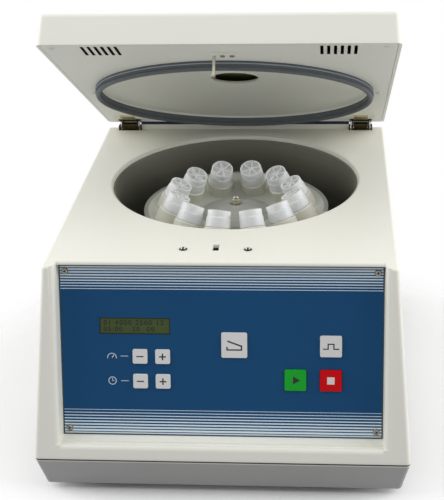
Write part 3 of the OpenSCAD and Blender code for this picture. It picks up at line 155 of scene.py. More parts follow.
# Base pan: a grey tray of moulded ABS under the machine, with a fine eroded grain, set in a little
# under the housing and joined to it by four screws from below. Its upper edge is painted pale as a highlight,
# and the joint above it is painted dark as shade under the housing.
body_of = {n: b for b, members in frame["record"]["behaviour"]["bodies"].items() for n in members}


def soften(node, finish, edge=0.3, steps=2, sharp=32):
    # A copy of the node's solid with its edges broken, as they are on a made piece.
    # The edge is in millimetres. What turns by less than sharp, in degrees, is no edge.
    weld, flat = 0.002 * mm, math.radians(0.4)
    piece = bpy.data.objects.new(node + "_made", frame["nodes"][node].data.copy())
    bpy.context.scene.collection.objects.link(piece)
    bpy.ops.object.select_all(action="DESELECT")
    piece.select_set(True)
    bpy.context.view_layer.objects.active = piece
    bpy.ops.object.mode_set(mode="EDIT")
    bpy.ops.mesh.select_all(action="SELECT")
    bpy.ops.mesh.remove_doubles(threshold=weld)
    bpy.ops.mesh.dissolve_limited(angle_limit=flat)
    bpy.ops.object.mode_set(mode="OBJECT")
    if edge:
        rounding = piece.modifiers.new("rounding", "BEVEL")
        rounding.width = edge * mm
        rounding.segments = steps
        rounding.limit_method = "ANGLE"
        rounding.angle_limit = math.radians(sharp)
        rounding.use_clamp_overlap = True
        bpy.ops.object.modifier_apply(modifier="rounding")
    bpy.ops.object.shade_smooth_by_angle(angle=math.radians(sharp))
    even = piece.modifiers.new("even_shading", "WEIGHTED_NORMAL")
    even.keep_sharp = True
    bpy.ops.object.modifier_apply(modifier="even_shading")
    piece.data.materials.clear()
    piece.data.materials.append(finish)
    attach(piece, body_of[node])
    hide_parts(node)
    return piece


def cut_along(planes, **settings):
    # Cuts the active piece's faces along planes, each a point and a normal.
    bpy.ops.object.mode_set(mode="EDIT")
    for point, normal in planes:
        bpy.ops.mesh.select_all(action="SELECT")
        bpy.ops.mesh.bisect(plane_co=point, plane_no=normal, **settings)
    bpy.ops.object.mode_set(mode="OBJECT")


def second_finish(piece, finish, picked):
    # Another material on the faces that are picked.
    piece.data.materials.append(finish)
    for face in piece.data.polygons:
        if picked(face):
            face.material_index = len(piece.data.materials) - 1


def noise(tree, spot, size, detail, roughness=0.5):
    # Clouds about as wide as size, in millimetres.
    return add(tree, "TexNoise", {"Vector": spot, "Scale": 1 / (size * mm), "Detail": detail,
                                  "Roughness": roughness}).outputs[0]


def between(tree, value, low, high):
    # A value from 0 to 1, stretched to lie between low and high.
    return add(tree, "MapRange", {0: value, 3: low, 4: high}).outputs[0]


def bump(tree, height, strength, depth):
    # Fine relief of a surface, as deep as depth, in millimetres.
    return add(tree, "Bump", {"Strength": strength, "Distance": depth * mm, "Height": height}).outputs[0]


def surface(tree, inputs):
    shader = add(tree, "BsdfPrincipled", inputs)
    add(tree, "OutputMaterial", {"Surface": shader.outputs[0]})


def moulded(name, colour, shade, grain=0.8, rough=0.45, relief=0.02, gloss=0.5):
    # Moulded plastic or paint: an even colour with faint clouds, and a fine grain that softens the gloss.
    # The grain is drawn coarser than the real one so that it shows.
    cloud_size, rough_spread = 60, 0.06
    made, tree, spot = blank(name)
    clouds = noise(tree, spot, cloud_size, detail=3.0)
    pits = noise(tree, spot, grain, detail=2.0)
    surface(tree, {"Base Color": blend(tree, clouds, linear(shade), linear(colour)),
                   "Roughness": between(tree, pits, rough - rough_spread, rough + rough_spread),
                   "IOR": 1.53, "Specular IOR Level": gloss,
                   "Normal": bump(tree, pits, strength=0.5, depth=relief)})
    return made


pan_abs = moulded("grained_grey_ABS", "#B6B6B4", "#AEAEAC", grain=1.0, rough=0.55, relief=0.05)
pan_edge_highlight_abs = moulded("grey_ABS_painted_highlight", "#F2F2EA", "#E9E9E0", grain=1.0, rough=0.5, relief=0.05)
pan_joint_shade_abs = moulded("grey_ABS_painted_shade", "#64645E", "#595852", grain=1.0, rough=0.7, relief=0.05, gloss=0.2)
# A pale band of painted highlight on the rounded upper edge, and painted shade on the joint's faces above it.
edge_z, groove_z = 39.8 * mm, 41.25 * mm
pan = soften("base_pan", pan_abs, edge=0.8)
cut_along([((0, 0, edge_z), (0, 0, 1))])
second_finish(pan, pan_edge_highlight_abs, lambda face: edge_z < face.center.z < groove_z)
second_finish(pan, pan_joint_shade_abs, lambda face: face.center.z > groove_z)


# Rubber feet: four tapered pads of black rubber under the corners of the base pan.
# Rubber is matt, nearly black, and dusty where it is handled.
def rubber(name, colour, shade, rough=0.7):
    dust_size, pore_size = 12, 0.5
    made, tree, spot = blank(name)
    dust = noise(tree, spot, dust_size, detail=6.0, roughness=0.65)
    pores = noise(tree, spot, pore_size, detail=2.0)
    surface(tree, {"Base Color": blend(tree, dust, linear(colour), linear(shade)), "Roughness": rough,
                   "IOR": 1.52, "Specular IOR Level": 0.35,
                   "Normal": bump(tree, pores, strength=0.4, depth=0.03)})
    return made


black_rubber = rubber("black_rubber", "#222324", "#333435")
soften("rubber_feet", black_rubber, edge=1.0)


# Main housing: one cream moulding with the mouth of the chamber in its top face
# and a deep pocket for the panel in its front, painted with a fine satin coat.
cream_coat = moulded("satin_cream_coat", "#F3F2E8", "#EFEEE3", grain=1.6, rough=0.45, relief=0.03, gloss=0.4)
soften("main_housing", cream_coat, edge=0.5, sharp=28)


# Screws in the base: four plated steel screws with hexagon sockets, driven up into the housing.
# Nickel plating is bright, a little yellow, and slightly clouded by handling.
def plated(name, colour, shade, rough=0.25, patch=4.0):
    made, tree, spot = blank(name)
    haze = noise(tree, spot, patch, detail=4.0)
    surface(tree, {"Base Color": blend(tree, haze, linear(shade), linear(colour)), "Metallic": 1.0,
                   "Roughness": between(tree, haze, rough - 0.08, rough + 0.12)})
    return made


nickel = plated("nickel_plated_steel", "#CFCBBE", "#A9A596", rough=0.28, patch=2.0)
soften("housing_screws", nickel, edge=0.25)


# Rear plate: powder-coated sheet steel with punched air slots, held by six screws.
# The mains inlet, two fuse holders and the mains switch are set into it.
plate_paint = moulded("powder_coated_sheet", "#D9D9D0", "#D2D2C8", grain=1.2, rough=0.5, relief=0.04)
soften("rear_plate", plate_paint, edge=0.25)
soften("rear_screws", nickel, edge=0.2)
black_pbt = moulded("black_PBT", "#2A2A2B", "#232324", grain=0.7, rough=0.5, relief=0.02)
soften("power_inlet", black_pbt, edge=0.4)
brass = plated("bare_brass", "#C9A552", "#A8853C", rough=0.3, patch=3.0)
soften("inlet_pins", brass, edge=0.3)
soften("fuse_holders", black_pbt, edge=0.4)
soften("switch_frame", black_pbt, edge=0.3)
rocker_pc = moulded("black_rocker_PC", "#2C2C2E", "#262628", grain=0.6, rough=0.32, relief=0.01)
soften("power_rocker", rocker_pc, edge=0.5)


# Inside the base: a steel frame on legs, the motor on its rubber mounts and the drive electronics.
# They are hidden by the casing and keep the shapes of the solids.
zinc = plated("zinc_plated_steel", "#C2C4C5", "#A6A9AC", rough=0.35, patch=6.0)
motor_paint = moulded("black_motor_enamel", "#4A4A4B", "#404041", grain=1.0, rough=0.4, relief=0.03)
board_resin = moulded("green_circuit_board", "#1F5A3A", "#1A4F33", grain=2.0, rough=0.35, relief=0.02)
copper = plated("enamelled_copper", "#A9653A", "#7E4826", rough=0.35, patch=1.5)
for node, finish in (
    ("support_frame", zinc), ("guard_ring", zinc), ("motor_bracket", zinc),
    ("vibration_dampers", black_rubber), ("motor_can", motor_paint), ("motor_end_bell", zinc),
    ("motor_stator", copper), ("motor_bearings", nickel), ("motor_armature", motor_paint),
    ("power_board", board_resin), ("transformer", motor_paint), ("control_board", board_resin),
    ("board_standoffs", nickel), ("key_switches", black_pbt), ("display_module", black_pbt),
    ("lock_solenoid", copper),
):
    finishes = frame["nodes"][node].data.materials
    finishes.clear()
    finishes.append(finish)


# Chamber bowl: deep-drawn stainless steel with fine drawing marks round its wall,
# dulled by use. The rubber boot closes its floor round the shaft.
bowl_steel, tree, spot = blank("drawn_stainless_steel")
drawn_flat = add(tree, "Mapping", {"Vector": spot, "Scale": (6.0, 6.0, 900.0)})
marks = add(tree, "TexNoise", {"Vector": drawn_flat.outputs[0], "Scale": 1.0, "Detail": 3.0}).outputs[0]
surface(tree, {"Base Color": blend(tree, marks, linear("#7A796F"), linear("#8E8D82")), "Metallic": 0.6,
               "Roughness": between(tree, marks, low=0.42, high=0.58),
               "Normal": bump(tree, marks, strength=0.3, depth=0.02)})
soften("chamber_bowl", bowl_steel, edge=0.25)
soften("shaft_boot", black_rubber, edge=0.6)


# Rotor: a solid aluminium head turned on a lathe and blasted dull, with faint rings from the tool
# and a smoother hub, on the motor's ground steel shaft under a knurled nut, whose washer is painted black as
# shade in its well.
def turned(name, colour, shade, ring=0.9, rough=0.3, metal=1.0):
    # Rings follow the rotor's axis. They are drawn wider than the real tool marks so that they show.
    haze_size, wave_step = 25, 0.31
    made, tree, spot = blank(name)
    centred = add(tree, "Mapping", {"Vector": spot, "Location": (0, -rotor_y, 0)})
    rings = add(tree, "TexWave", {"Vector": centred.outputs[0], "Scale": wave_step / (ring * mm),
                                  "Distortion": 0.6, "Detail": 2.0, "Detail Scale": 1.5},
                wave_type="RINGS", rings_direction="Z").outputs["Fac"]
    haze = noise(tree, spot, haze_size, detail=3.0)
    surface(tree, {"Base Color": blend(tree, haze, linear(shade), linear(colour)), "Metallic": metal,
                   "Roughness": between(tree, rings, rough - 0.06, rough + 0.1), "Anisotropic": 0.3,
                   "Normal": bump(tree, rings, strength=0.25, depth=0.03)})
    return made


hub_radius = 40.2 * mm


def on_hub(face):
    return face.normal.z > 0.2 and math.hypot(face.center.x, face.center.y - rotor_y) < hub_radius


rotor_alu = turned("blasted_aluminium", "#E2E3DC", "#D6D7CF", rough=0.55, metal=0.2)
hub_alu = turned("turned_aluminium", "#BEBFBA", "#B0B1AB", rough=0.45, metal=0.3)
# Black steel stands as painted shade: on the washer in the well round the nut, and on the lock screws' heads.
shade_black_steel = turned("black_steel_painted_shade", "#3B3A35", "#302F2B", ring=0.5, rough=0.35)
rotor = soften("rotor_head", rotor_alu, edge=0.4)
second_finish(rotor, hub_alu, on_hub)
soften("motor_shaft", zinc, edge=0.4)
soften("rotor_washer", shade_black_steel, edge=0.3)
nut_metal = turned("turned_nickel_brass", "#E4E0D2", "#C6BFA8", ring=0.5, rough=0.14)
soften("rotor_nut", nut_metal, edge=0.25)


# Tube sleeves: beige acetal sockets pressed into the rotor, each with a rolled rim painted lighter as a
# highlight.
# A face's depth below its cap's top, along its tube, tells the rim from the collar.
tube_lean, tube_step, first_tube = math.radians(28), math.radians(30), math.radians(18.2)
cap_circle, cap_top_z = 61.6 * mm, 212.8 * mm
sleeve_rim_depth, skirt_depth = 20.2 * mm, 7.4 * mm


def depth_in_tube(spot):
    bearing = math.atan2(spot.y - rotor_y, spot.x)
    bearing = first_tube + tube_step * round((bearing - first_tube) / tube_step)
    out = spot.x * math.cos(bearing) + (spot.y - rotor_y) * math.sin(bearing) - cap_circle
    return out * math.sin(tube_lean) - (spot.z - cap_top_z) * math.cos(tube_lean)


sleeve_pom = moulded("beige_acetal", "#E8E6D9", "#DFDDCE", grain=1.0, rough=0.45, relief=0.02)
rim_highlight_pom = moulded("beige_acetal_painted_highlight", "#F0EFE6", "#EAE9DE", grain=1.0, rough=0.4, relief=0.02)
sleeves = soften("tube_sleeves", sleeve_pom, edge=0.6, steps=3)
# The top of each sleeve is painted lighter as a highlight.
second_finish(sleeves, rim_highlight_pom, lambda face: depth_in_tube(face.center) < sleeve_rim_depth)


# Tubes and caps: milky polypropylene that lets some light through.
# A cap's skirt is thinner than its top, so it looks bluer.
def milky(name, colour, depth, rough):
    flow_size = 9
    made, tree, spot = blank(name)
    flow = noise(tree, spot, flow_size, detail=2.0)
    surface(tree, {"Base Color": blend(tree, flow, linear(colour), linear("#FBFDFD")), "Roughness": rough,
                   "IOR": 1.49, "Subsurface Weight": 0.9, "Subsurface Radius": (1.0, 1.05, 1.1),
                   "Subsurface Scale": depth * mm, "Normal": bump(tree, flow, strength=0.2, depth=0.05)})
    return made


cap_pp = milky("milky_polypropylene", "#F9FBFB", depth=2.0, rough=0.4)
skirt_pp = milky("thin_milky_polypropylene", "#E8EEF0", depth=2.5, rough=0.35)
caps = soften("tube_caps", cap_pp, edge=0.5, steps=3)
second_finish(caps, skirt_pp, lambda face: depth_in_tube(face.center) > skirt_depth)
tube_pp = milky("clear_polypropylene", "#E6ECEE", depth=6.0, rough=0.2)
soften("sample_tubes", tube_pp, edge=0)


# Control panel: an aluminium plate under a printed film in deep blue,
# screwed at its corners into the pocket of the housing with cross-recessed screws.
panel_film = moulded("printed_blue_film", "#184F7B", "#164975", grain=1.0, rough=0.5, relief=0.015,
                     gloss=0.12)
soften("control_panel", panel_film, edge=0.2)
# The panel's own frame: x sideways, y up the slope from its lower edge, z out of the panel.
panel_y, ledge_z, panel_tilt = -244.5 * mm + rotor_y, 57 * mm, math.radians(15)
panel_place = Matrix.Translation((0, panel_y, ledge_z)) @ Matrix.Rotation(math.pi / 2 - panel_tilt, 4, "X")
panel_flat = panel_place.inverted()
screw_x, screw_low, screw_high = 147.4 * mm, 6.6 * mm, 160.9 * mm
recess_radius, recess_floor, recess_top = 2.0 * mm, 0.3 * mm, 1.55 * mm


def recess_in_shade(face):
    spot = panel_flat @ face.center
    off = math.hypot(abs(spot.x) - screw_x, min(abs(spot.y - screw_low), abs(spot.y - screw_high)))
    return off < recess_radius and recess_floor < spot.z < recess_top


worn_nickel = plated("worn_nickel_plating", "#A8A498", "#6F6B61", rough=0.35, patch=1.2)
screws = soften("panel_screws", worn_nickel, edge=0.2)
# The cross recesses are painted black as shade.
second_finish(screws, black_rubber, recess_in_shade)


# Panel gasket: a thin slate-grey rubber lip round the panel's edge, pressed between plate and housing,
# painted dark as shade for the gap round the panel. It is a flat frame in the panel's plane.
def fit(piece, place, finish, body, depth=0):
    # Gives a flat piece its thickness, in millimetres, puts it in its place and hands it to a body.
    bpy.ops.object.select_all(action="DESELECT")
    piece.select_set(True)
    bpy.context.view_layer.objects.active = piece
    if depth:
        skin = piece.modifiers.new("thickness", "SOLIDIFY")
        skin.thickness = depth * mm
        skin.offset = 1
        bpy.ops.object.modifier_apply(modifier="thickness")
    piece.matrix_world = place
    bpy.ops.object.transform_apply(location=True, rotation=True, scale=True)
    piece.data.materials.append(finish)
    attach(piece, body)
    return piece


def border(name, width, height, band, middle, lift):
    # A flat frame on the XY plane, in millimetres.
    bpy.ops.object.select_all(action="DESELECT")
    bpy.ops.mesh.primitive_plane_add(size=1)
    piece = bpy.context.object
    piece.name = name
    bpy.ops.object.mode_set(mode="EDIT")
    bpy.ops.mesh.select_all(action="SELECT")
    bpy.ops.transform.resize(value=(width * mm, height * mm, 1))
    bpy.ops.transform.translate(value=(middle[0] * mm, middle[1] * mm, lift * mm))
    bpy.ops.mesh.inset(thickness=band * mm)
    bpy.ops.mesh.delete(type="FACE")
    bpy.ops.object.mode_set(mode="OBJECT")
    return piece


panel_w = 306
gasket_w, gasket_v, gasket_band, gasket_low = panel_w + 1.0, 166.6, 1.1, 0.3
gasket_lift, gasket_depth = 0.04, 0.25
# Its slate grey is painted shade round the panel's edge.
gasket = border("panel_shade_gasket", gasket_w, gasket_v, gasket_band, (0, gasket_v / 2 + gasket_low), gasket_lift)
panel_gap_shade_rubber = rubber("panel_gap_shade_rubber", "#343E44", "#424C52")
fit(gasket, panel_place, panel_gap_shade_rubber, "body", gasket_depth)


# Stripes of the film: pale lines that thin out from the panel's edges towards the blue field.
# They are printed, so they are thin skins on the panel's face.
def bars(name, sizes, lift):
    # Flat bars on the XY plane: (middle x, middle y, width, height, turn) each, in millimetres and degrees.
    bpy.ops.object.select_all(action="DESELECT")
    for count, (x, y, w, h, turn) in enumerate(sizes):
        middle = (x * mm, y * mm, lift * mm)
        bpy.ops.mesh.primitive_plane_add(size=1, location=middle)
        if not count:
            piece = bpy.context.object
            piece.name = name
            bpy.ops.object.transform_apply(location=True)
            bpy.ops.object.mode_set(mode="EDIT")
            bpy.ops.mesh.select_all(action="SELECT")
        bpy.ops.transform.resize(value=(w * mm, h * mm, 1), center_override=middle)
        if turn:
            bpy.ops.transform.rotate(value=math.radians(turn), orient_axis="Z", center_override=middle)
        bpy.ops.mesh.select_all(action="DESELECT")
    bpy.ops.object.mode_set(mode="OBJECT")
    return piece


def printed(name, colour, rough=0.5, gloss=0.3):
    # Screen-printed ink: an even colour with a fine grit from the mesh.
    grit_size, rough_spread = 0.6, 0.05
    made, tree, spot = blank(name)
    grit = noise(tree, spot, grit_size, detail=2.0)
    thin = add(tree, "HueSaturation", {"Value": 0.93, "Color": linear(colour)})
    surface(tree, {"Base Color": blend(tree, grit, linear(colour), thin.outputs[0]),
                   "Roughness": between(tree, grit, rough - rough_spread, rough + rough_spread),
                   "Specular IOR Level": gloss})
    return made


ink_lift, ink_depth = 0.03, 0.04
line_count, line_w = 9, panel_w - 1.6


def lines(first, step, thick, thinner):
    # Lines across the panel, each a step further in and thinner than the one before.
    return [(0, first + step * i, line_w, thick - thinner * i, 0) for i in range(line_count)]


stripe_ink = printed("pale_blue_ink", "#E4F3FA")
top_lines = lines(first=165.3, step=-2.66, thick=1.9, thinner=0.16)
low_lines = lines(first=1.5, step=2.95, thick=2.15, thinner=0.21)
stripes = bars("panel_stripes", top_lines + low_lines, ink_lift)
fit(stripes, panel_place, stripe_ink, "body", ink_depth)


# Marks beside the step keys: a gauge for the speed, a clock for the time,
# and a short dash to each row of keys. They are printed on the film in white.
def ring(name, radius, width, middle=(0, 0), lift=0):
    # A flat ring on the XY plane, in millimetres.
    bpy.ops.object.select_all(action="DESELECT")
    bpy.ops.mesh.primitive_circle_add(vertices=48, radius=radius * mm, fill_type="NGON",
                                      location=(middle[0] * mm, middle[1] * mm, lift * mm))
    piece = bpy.context.object
    piece.name = name
    bpy.ops.object.transform_apply(location=True)
    bpy.ops.object.mode_set(mode="EDIT")
    bpy.ops.mesh.select_all(action="SELECT")
    bpy.ops.mesh.inset(thickness=width * mm)
    bpy.ops.mesh.delete(type="FACE")
    bpy.ops.object.mode_set(mode="OBJECT")
    return piece


speed_row, time_row = 78.5, 54.1
mark_x, dash_x, dash_w, dash_h = -104.5, -92.5, 7.4, 0.65
dial_radius, dial_middle, dial_low = 4.6, speed_row - 1.6, speed_row - 2.4
clock_radius, mark_line = 4.0, 0.8
mark_ink = printed("white_ink", "#D5DEE6")
dashes = bars("row_dashes", [(dash_x, v, dash_w, dash_h, 0) for v in (speed_row, time_row)], ink_lift)
dial = ring("speed_mark_dial", dial_radius, mark_line, (mark_x, dial_middle), ink_lift)
cut_along([((0, dial_low * mm, 0), (0, 1, 0))], clear_inner=True)
needle = bars("speed_mark_needle", [(mark_x + 1.0, speed_row - 0.4, 0.9, 3.2, 35)], ink_lift)
clock = ring("time_mark_ring", clock_radius, mark_line, (mark_x, time_row), ink_lift)
hands = bars("time_mark_hands", [(mark_x, time_row + 1.2, 0.7, 2.4, 0),
                                 (mark_x + 0.9, time_row, 1.8, 0.7, 0)], ink_lift)
for mark in (dashes, dial, needle, clock, hands):
    fit(mark, panel_place, mark_ink, "body", ink_depth)


# Display: a green character display behind a clear window, sunk a little into the panel,
# with a dark frame of painted shade round its edge for the recess's shadow, and two rows of plain figures.
display_x, display_v, display_w, display_h, display_n = -82, 107.9, 68, 16.3, -1.0
shade_frame_gap, shade_frame_band, shade_frame_lift = 0.1, 1.3, display_n + 0.02
row_x, row_lift, display_skin = display_x - 30, display_n + 0.03, 0.03
figure_size, figure_space, figure_weight = 6.6 * mm, 1.27, 0.1 * mm
lcd_glass = moulded("olive_display_glass", "#3B4E19", "#354715", grain=0.65, rough=0.3, relief=0.005,
                    gloss=0.3)
soften("display_window", lcd_glass, edge=0)
# A dark olive frame of painted shade round the window's edge.
shade_frame_ink = printed("dark_olive_painted_shade", "#23290F")
shade_frame = border("display_painted_shade", display_w - shade_frame_gap, display_h - shade_frame_gap, shade_frame_band,
              (display_x, display_v), shade_frame_lift)
fit(shade_frame, panel_place, shade_frame_ink, "body", display_skin)
figure_ink = printed("dark_liquid_crystal", "#12170A")
for name, figures, up in (
    ("display_row_1", "01 4000 2500 12", 1.1),
    ("display_row_2", "05:00   20  00", -5.2),
):
    bpy.ops.object.select_all(action="DESELECT")
    bpy.ops.object.text_add()
    row = bpy.context.object
    row.name = name
    row.data.body = figures
    row.data.size = figure_size
    row.data.space_character = figure_space
    row.data.offset = figure_weight
    bpy.ops.object.convert(target="MESH")
    place = panel_place @ Matrix.Translation((row_x * mm, (display_v + up) * mm, row_lift * mm))
    fit(row, place, figure_ink, "body", display_skin)


# Push keys: moulded caps with rounded rims, each on its own switch,
# printed with a sign: less, more, lid, short run, start and stop.
def arrow(name, radius, corner):
    # A flat triangle on the XY plane that points to +X, in millimetres.
    bpy.ops.object.select_all(action="DESELECT")
    bpy.ops.mesh.primitive_circle_add(vertices=3, radius=radius * mm, fill_type="NGON",
                                      rotation=(0, 0, -math.pi / 2))
    piece = bpy.context.object
    piece.name = name
    bpy.ops.object.transform_apply(rotation=True)
    bpy.ops.object.mode_set(mode="EDIT")
    bpy.ops.mesh.select_all(action="SELECT")
    bpy.ops.mesh.bevel(offset=corner * mm, segments=3, affect="VERTICES")
    bpy.ops.object.mode_set(mode="OBJECT")
    return piece


key_top = 1.62
key_grey = moulded("light_grey_key_ABS", "#E9E9E6", "#E4E4E1", grain=0.8, rough=0.5, relief=0.02, gloss=0.35)
key_green = moulded("green_key_ABS", "#1CB030", "#1AA62D", grain=0.8, rough=0.5, relief=0.02, gloss=0.15)
key_red = moulded("red_key_ABS", "#DE0812", "#D30710", grain=0.8, rough=0.5, relief=0.02, gloss=0.12)
black_ink = printed("black_ink", "#26262A")
white_ink = printed("white_key_ink", "#F0E6E4")
step_x1, step_x2, run_x1, run_x2 = -77.4, -55.7, 70.5, 104
lid_key_at, pulse_at, start_at, stop_at = (12.7, 90.5), (run_x2, 90.3), (run_x1, 57), (run_x2, 57)
less = [(0, 0, 6.8, 1.1, 0)]
more = [(0, 0, 6.4, 1.3, 0), (0, 1.95, 1.3, 2.5, 0), (0, -1.95, 1.3, 2.5, 0)]
lid_sign = [(0, -4.4, 15, 1.3, 0), (-6.85, -2.6, 1.3, 2.3, 0), (6.85, -2.6, 1.3, 2.3, 0),
            (0.6, 1.6, 15, 1.4, 20)]
pulse_sign = [(-5.4, -2.4, 4.4, 1.1, 0), (-2.7, 0, 1.1, 5.9, 0), (0, 2.4, 4.3, 1.1, 0),
              (2.7, 0, 1.1, 5.9, 0), (5.4, -2.4, 4.4, 1.1, 0)]
stop_sign = [(0, 0, 7.0, 7.0, 0)]
arrow_radius, arrow_corner = 4.6, 0.5
for node, finish, sign, ink, (x, v) in (
    ("speed_down_key", key_grey, less, black_ink, (step_x1, speed_row)),
    ("speed_up_key", key_grey, more, black_ink, (step_x2, speed_row)),
    ("time_down_key", key_grey, less, black_ink, (step_x1, time_row)),
    ("time_up_key", key_grey, more, black_ink, (step_x2, time_row)),
    ("lid_release_key", key_grey, lid_sign, black_ink, lid_key_at),
    ("pulse_key", key_grey, pulse_sign, black_ink, pulse_at),
    ("start_key", key_green, None, black_ink, start_at),
    ("stop_key", key_red, stop_sign, white_ink, stop_at),
):
    soften(node, finish, edge=0.7, steps=3)
    name = node + "_sign"
    mark = bars(name, sign, 0) if sign else arrow(name, arrow_radius, arrow_corner)
    place = panel_place @ Matrix.Translation((x * mm, v * mm, key_top * mm))
    fit(mark, place, ink, body_of[node], ink_depth)


# Lock: a black enamelled steel body under the slot in the top face, held by two screws, black as painted
# shade, whose heads are painted over, with a bolt of zinc-plated steel that slides across the slot.
# The sides of the screw heads and a thin rim round their tops are painted black as shade round each head.
head_z, head_shade_rim = 226 * mm, 0.5 * mm
soften("lock_body", motor_paint, edge=0.3)
screws = soften("lock_screws", shade_black_steel, edge=0.2)
bpy.ops.object.mode_set(mode="EDIT")
bpy.ops.mesh.select_mode(type="FACE")
bpy.ops.mesh.select_all(action="DESELECT")
bpy.ops.object.mode_set(mode="OBJECT")
for face in screws.data.polygons:
    face.select = face.normal.z > 0.95 and face.center.z > head_z
bpy.ops.object.mode_set(mode="EDIT")
bpy.ops.mesh.inset(thickness=head_shade_rim)
bpy.ops.object.mode_set(mode="OBJECT")
second_finish(screws, cream_coat, lambda face: face.select)
soften("lock_bolt", zinc, edge=0.3)


# Hinges: dark bronze brackets on the back wall between spacers, zinc shims and cheeks, nickel-plated pins,
# and leaves of yellow passivated steel screwed under the lid, painted dark bronze near the barrel as shade,
# with zinc-faced ears.
def block(name, size, middle, edge, steps):
    # A block with rounded edges: size, middle and edge are in millimetres.
    bpy.ops.object.select_all(action="DESELECT")
    bpy.ops.mesh.primitive_cube_add(size=1)
    piece = bpy.context.object
    piece.name = name
    bpy.ops.object.mode_set(mode="EDIT")
    bpy.ops.mesh.select_all(action="SELECT")
    bpy.ops.transform.resize(value=[s * mm for s in size])
    bpy.ops.mesh.bevel(offset=edge * mm, segments=steps, affect="EDGES")
    bpy.ops.transform.translate(value=[m * mm for m in middle])
    bpy.ops.object.mode_set(mode="OBJECT")
    bpy.ops.object.shade_smooth_by_angle(angle=math.radians(32))
    return piece


def repeat(piece, name, places):
    # The active piece and copies of it, each with its own mesh and number: as many as there are places.
    copies = [piece]
    piece.name = name + "_1"
    while len(copies) < len(places):
        bpy.ops.object.duplicate()
        copies.append(bpy.context.object)
        bpy.context.object.name = "%s_%d" % (name, len(copies))
    return zip(copies, places)


lid_open, hinge_y, hinge_z, lid_z = math.radians(30), 159.5 * mm + rotor_y, 229.5 * mm, 234.5 * mm
hinge = Vector((0, hinge_y, hinge_z))
lid_place = Matrix.Translation(hinge) @ Matrix.Rotation(-lid_open, 4, "X") @ Matrix.Translation(-hinge)
lid_closed = lid_place.inverted()
hinge_x, barrel_shade_from, bright_from, ear_z = 138 * mm, hinge_y - 13 * mm, 10.1 * mm, lid_z - 1.5 * mm


def on_ear_side(face):
    return (lid_closed @ face.center).z < ear_z and abs(abs(face.center.x) - hinge_x) > bright_from


dark_bronze_and_shade = plated("dark_bronze_and_shade", "#4C412A", "#332B1C", rough=0.4, patch=3.0)
soften("hinge_brackets", dark_bronze_and_shade, edge=0.4)
soften("hinge_pins", nickel, edge=0.3)
yellow_zinc = plated("yellow_passivated_zinc", "#DACFA8", "#B8AB7C", rough=0.4, patch=3.0)
leaves = soften("hinge_leaves", yellow_zinc, edge=0.3)
cuts = [(lid_place @ Vector((0, barrel_shade_from, lid_z)), lid_place.to_3x3().col[1])]
cuts += [(Vector((x + side * bright_from, 0, 0)), Vector((1, 0, 0)))
         for x in (-hinge_x, hinge_x) for side in (-1, 1)]
cut_along(cuts)
# The leaves' back part, near the barrel, is painted dark as shade.
second_finish(leaves, dark_bronze_and_shade, lambda face: (lid_closed @ face.center).y > barrel_shade_from)
second_finish(leaves, zinc, on_ear_side)
trim_y = 158.5
for name, size, z, finish, places in (
    ("hinge_cheek", (1.9, 8.0, 18.5), 220.5, dark_bronze_and_shade, (-150.93, -125.07, 125.07, 150.93)),
    ("hinge_spacer", (2.4, 6.0, 12.0), 219.2, dark_bronze_and_shade, (-147.3, -128.7, 128.7, 147.3)),
    ("hinge_shim", (1.3, 6.0, 12.0), 219.2, zinc, (-149.2, -126.8, 126.8, 149.2)),
):
    first = block(name, size, (0, trim_y, z), edge=0.4, steps=2)
    for piece, x in repeat(first, name, places):
        fit(piece, Matrix.Translation((x * mm, rotor_y, 0)), finish, "body")


# Draught strip: a navy rubber bead in a cream carrier along the back of the top face, between the hinges.
# It closes the gap under the lid's back edge, and its dark navy is painted shade for that gap.
strip_l, strip_y, carrier_z, bead_z = 249.2, 158.6, 227.7, 231.9
from_axis = Matrix.Translation((0, rotor_y, 0))
navy_gap_shade_rubber = rubber("navy_gap_shade_rubber", "#1F1D3C", "#2A2848", rough=0.6)
carrier = block("strip_carrier", (strip_l, 3.0, 6.2), (0, strip_y, carrier_z), edge=0.3, steps=2)
fit(carrier, from_axis, cream_coat, "body")
# The navy bead is painted shade in the gap under the lid.
bead = block("strip_shade_bead", (strip_l, 2.4, 4.2), (0, strip_y, bead_z), edge=1.0, steps=4)
fit(bead, from_axis, navy_gap_shade_rubber, "body")


# Lid: a cream moulded shell, lined with an olive sheet of painted shade that darkens the plate's openings,
# with a painted steel plate inside, a pressed dish and a ring seal. The plate's screws are painted over.
turn_back = lid_closed.to_3x3()
shade_lining_z = lid_z + 10 * mm
slot_back, slot_front, slots_x = rotor_y - 165 * mm, rotor_y - 205 * mm, 130 * mm


def on_ceiling(face):
    return (turn_back @ face.normal).z < -0.5 and (lid_closed @ face.center).z > shade_lining_z


def in_air_slot(face):
    # The walls of the air slots are painted dark as shade as well, because the real sheet is thinner than the
    # solid.
    upright = abs((turn_back @ face.normal).z) < 0.5
    return upright and abs(face.center.x) < slots_x and slot_front < (lid_closed @ face.center).y < slot_back


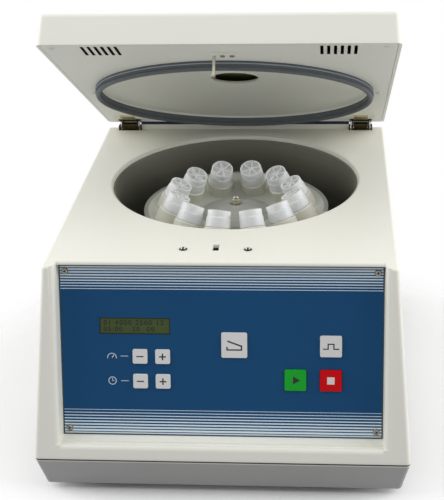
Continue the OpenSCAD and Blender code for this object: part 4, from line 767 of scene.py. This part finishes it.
lid_coat = moulded("grey_cream_paint", "#F3F3EA", "#EFEFE5", grain=1.4, rough=0.5, relief=0.03, gloss=0.35)
dish_coat = moulded("pressed_dish_paint", "#F5F5EB", "#F1F1E6", grain=1.6, rough=0.45, relief=0.03,
                    gloss=0.35)
lid_shade_lining = rubber("olive_painted_shade", "#8F8F66", "#9A9A70", rough=0.9)
slot_shade_paint = moulded("grey_cream_painted_shade", "#2E2E28", "#26261F", grain=1.4, rough=0.6, relief=0.03,
                    gloss=0.2)
shell = soften("lid_shell", cream_coat, edge=0.6, sharp=28)
# The shell's ceiling is painted dark as shade inside the lid.
second_finish(shell, lid_shade_lining, on_ceiling)
plate = soften("lid_inner_plate", lid_coat, edge=0.3)
# The slot walls are painted shade.
second_finish(plate, slot_shade_paint, in_air_slot)
soften("lid_dish", dish_coat, edge=0.3)
soften("lid_screws", lid_coat, edge=0.2)
# Round pieces under the lid are made flat, at their height with the lid closed, and swing up with it.
lid_swung = lid_place @ from_axis
hole_radius, hole_band, hole_z, hole_depth = 26.6, 1.4, 250.5, 0.9
hole_rim = ring("air_hole_rim", hole_radius, hole_band, lift=hole_z)
fit(hole_rim, lid_swung, cream_coat, "lid", hole_depth)


# Ring seal: an extruded profile of grey rubber, glued round the dish,
# with a thin pale lip round its foot.
seal_rubber = rubber("grey_seal_rubber", "#5A6063", "#686E71", rough=0.65)
soften("lid_seal", seal_rubber, edge=0.3)
pale_rubber = rubber("pale_seal_rubber", "#A9B0BA", "#B6BCC4", rough=0.6)
lip_radius, lip_band, lip_z, lip_depth = 148.3, 1.0, 231.6, 0.8
seal_lip = ring("seal_lip", lip_radius, lip_band, lift=lip_z)
fit(seal_lip, lid_swung, pale_rubber, "lid", lip_depth)


# Striker: a steel plate painted with the lid and held by two socket-headed screws.
# Its hook is bent from plated wire and drops through the slot into the lock.
soften("striker_plate", lid_coat, edge=0.3)
soften("striker_hook", nickel, edge=0.5, steps=3)
striker_y, screw_radius, screw_band, screw_z, screw_depth = -174.5, 2.3, 1.5, 231.4, 1.1
head = ring("striker_screw", screw_radius, screw_band, lift=screw_z)
for piece, x in repeat(head, "striker_screw", (2, 11)):
    place = lid_swung @ Matrix.Translation((x * mm, striker_y * mm, 0))
    fit(piece, place, worn_nickel, "lid", screw_depth)
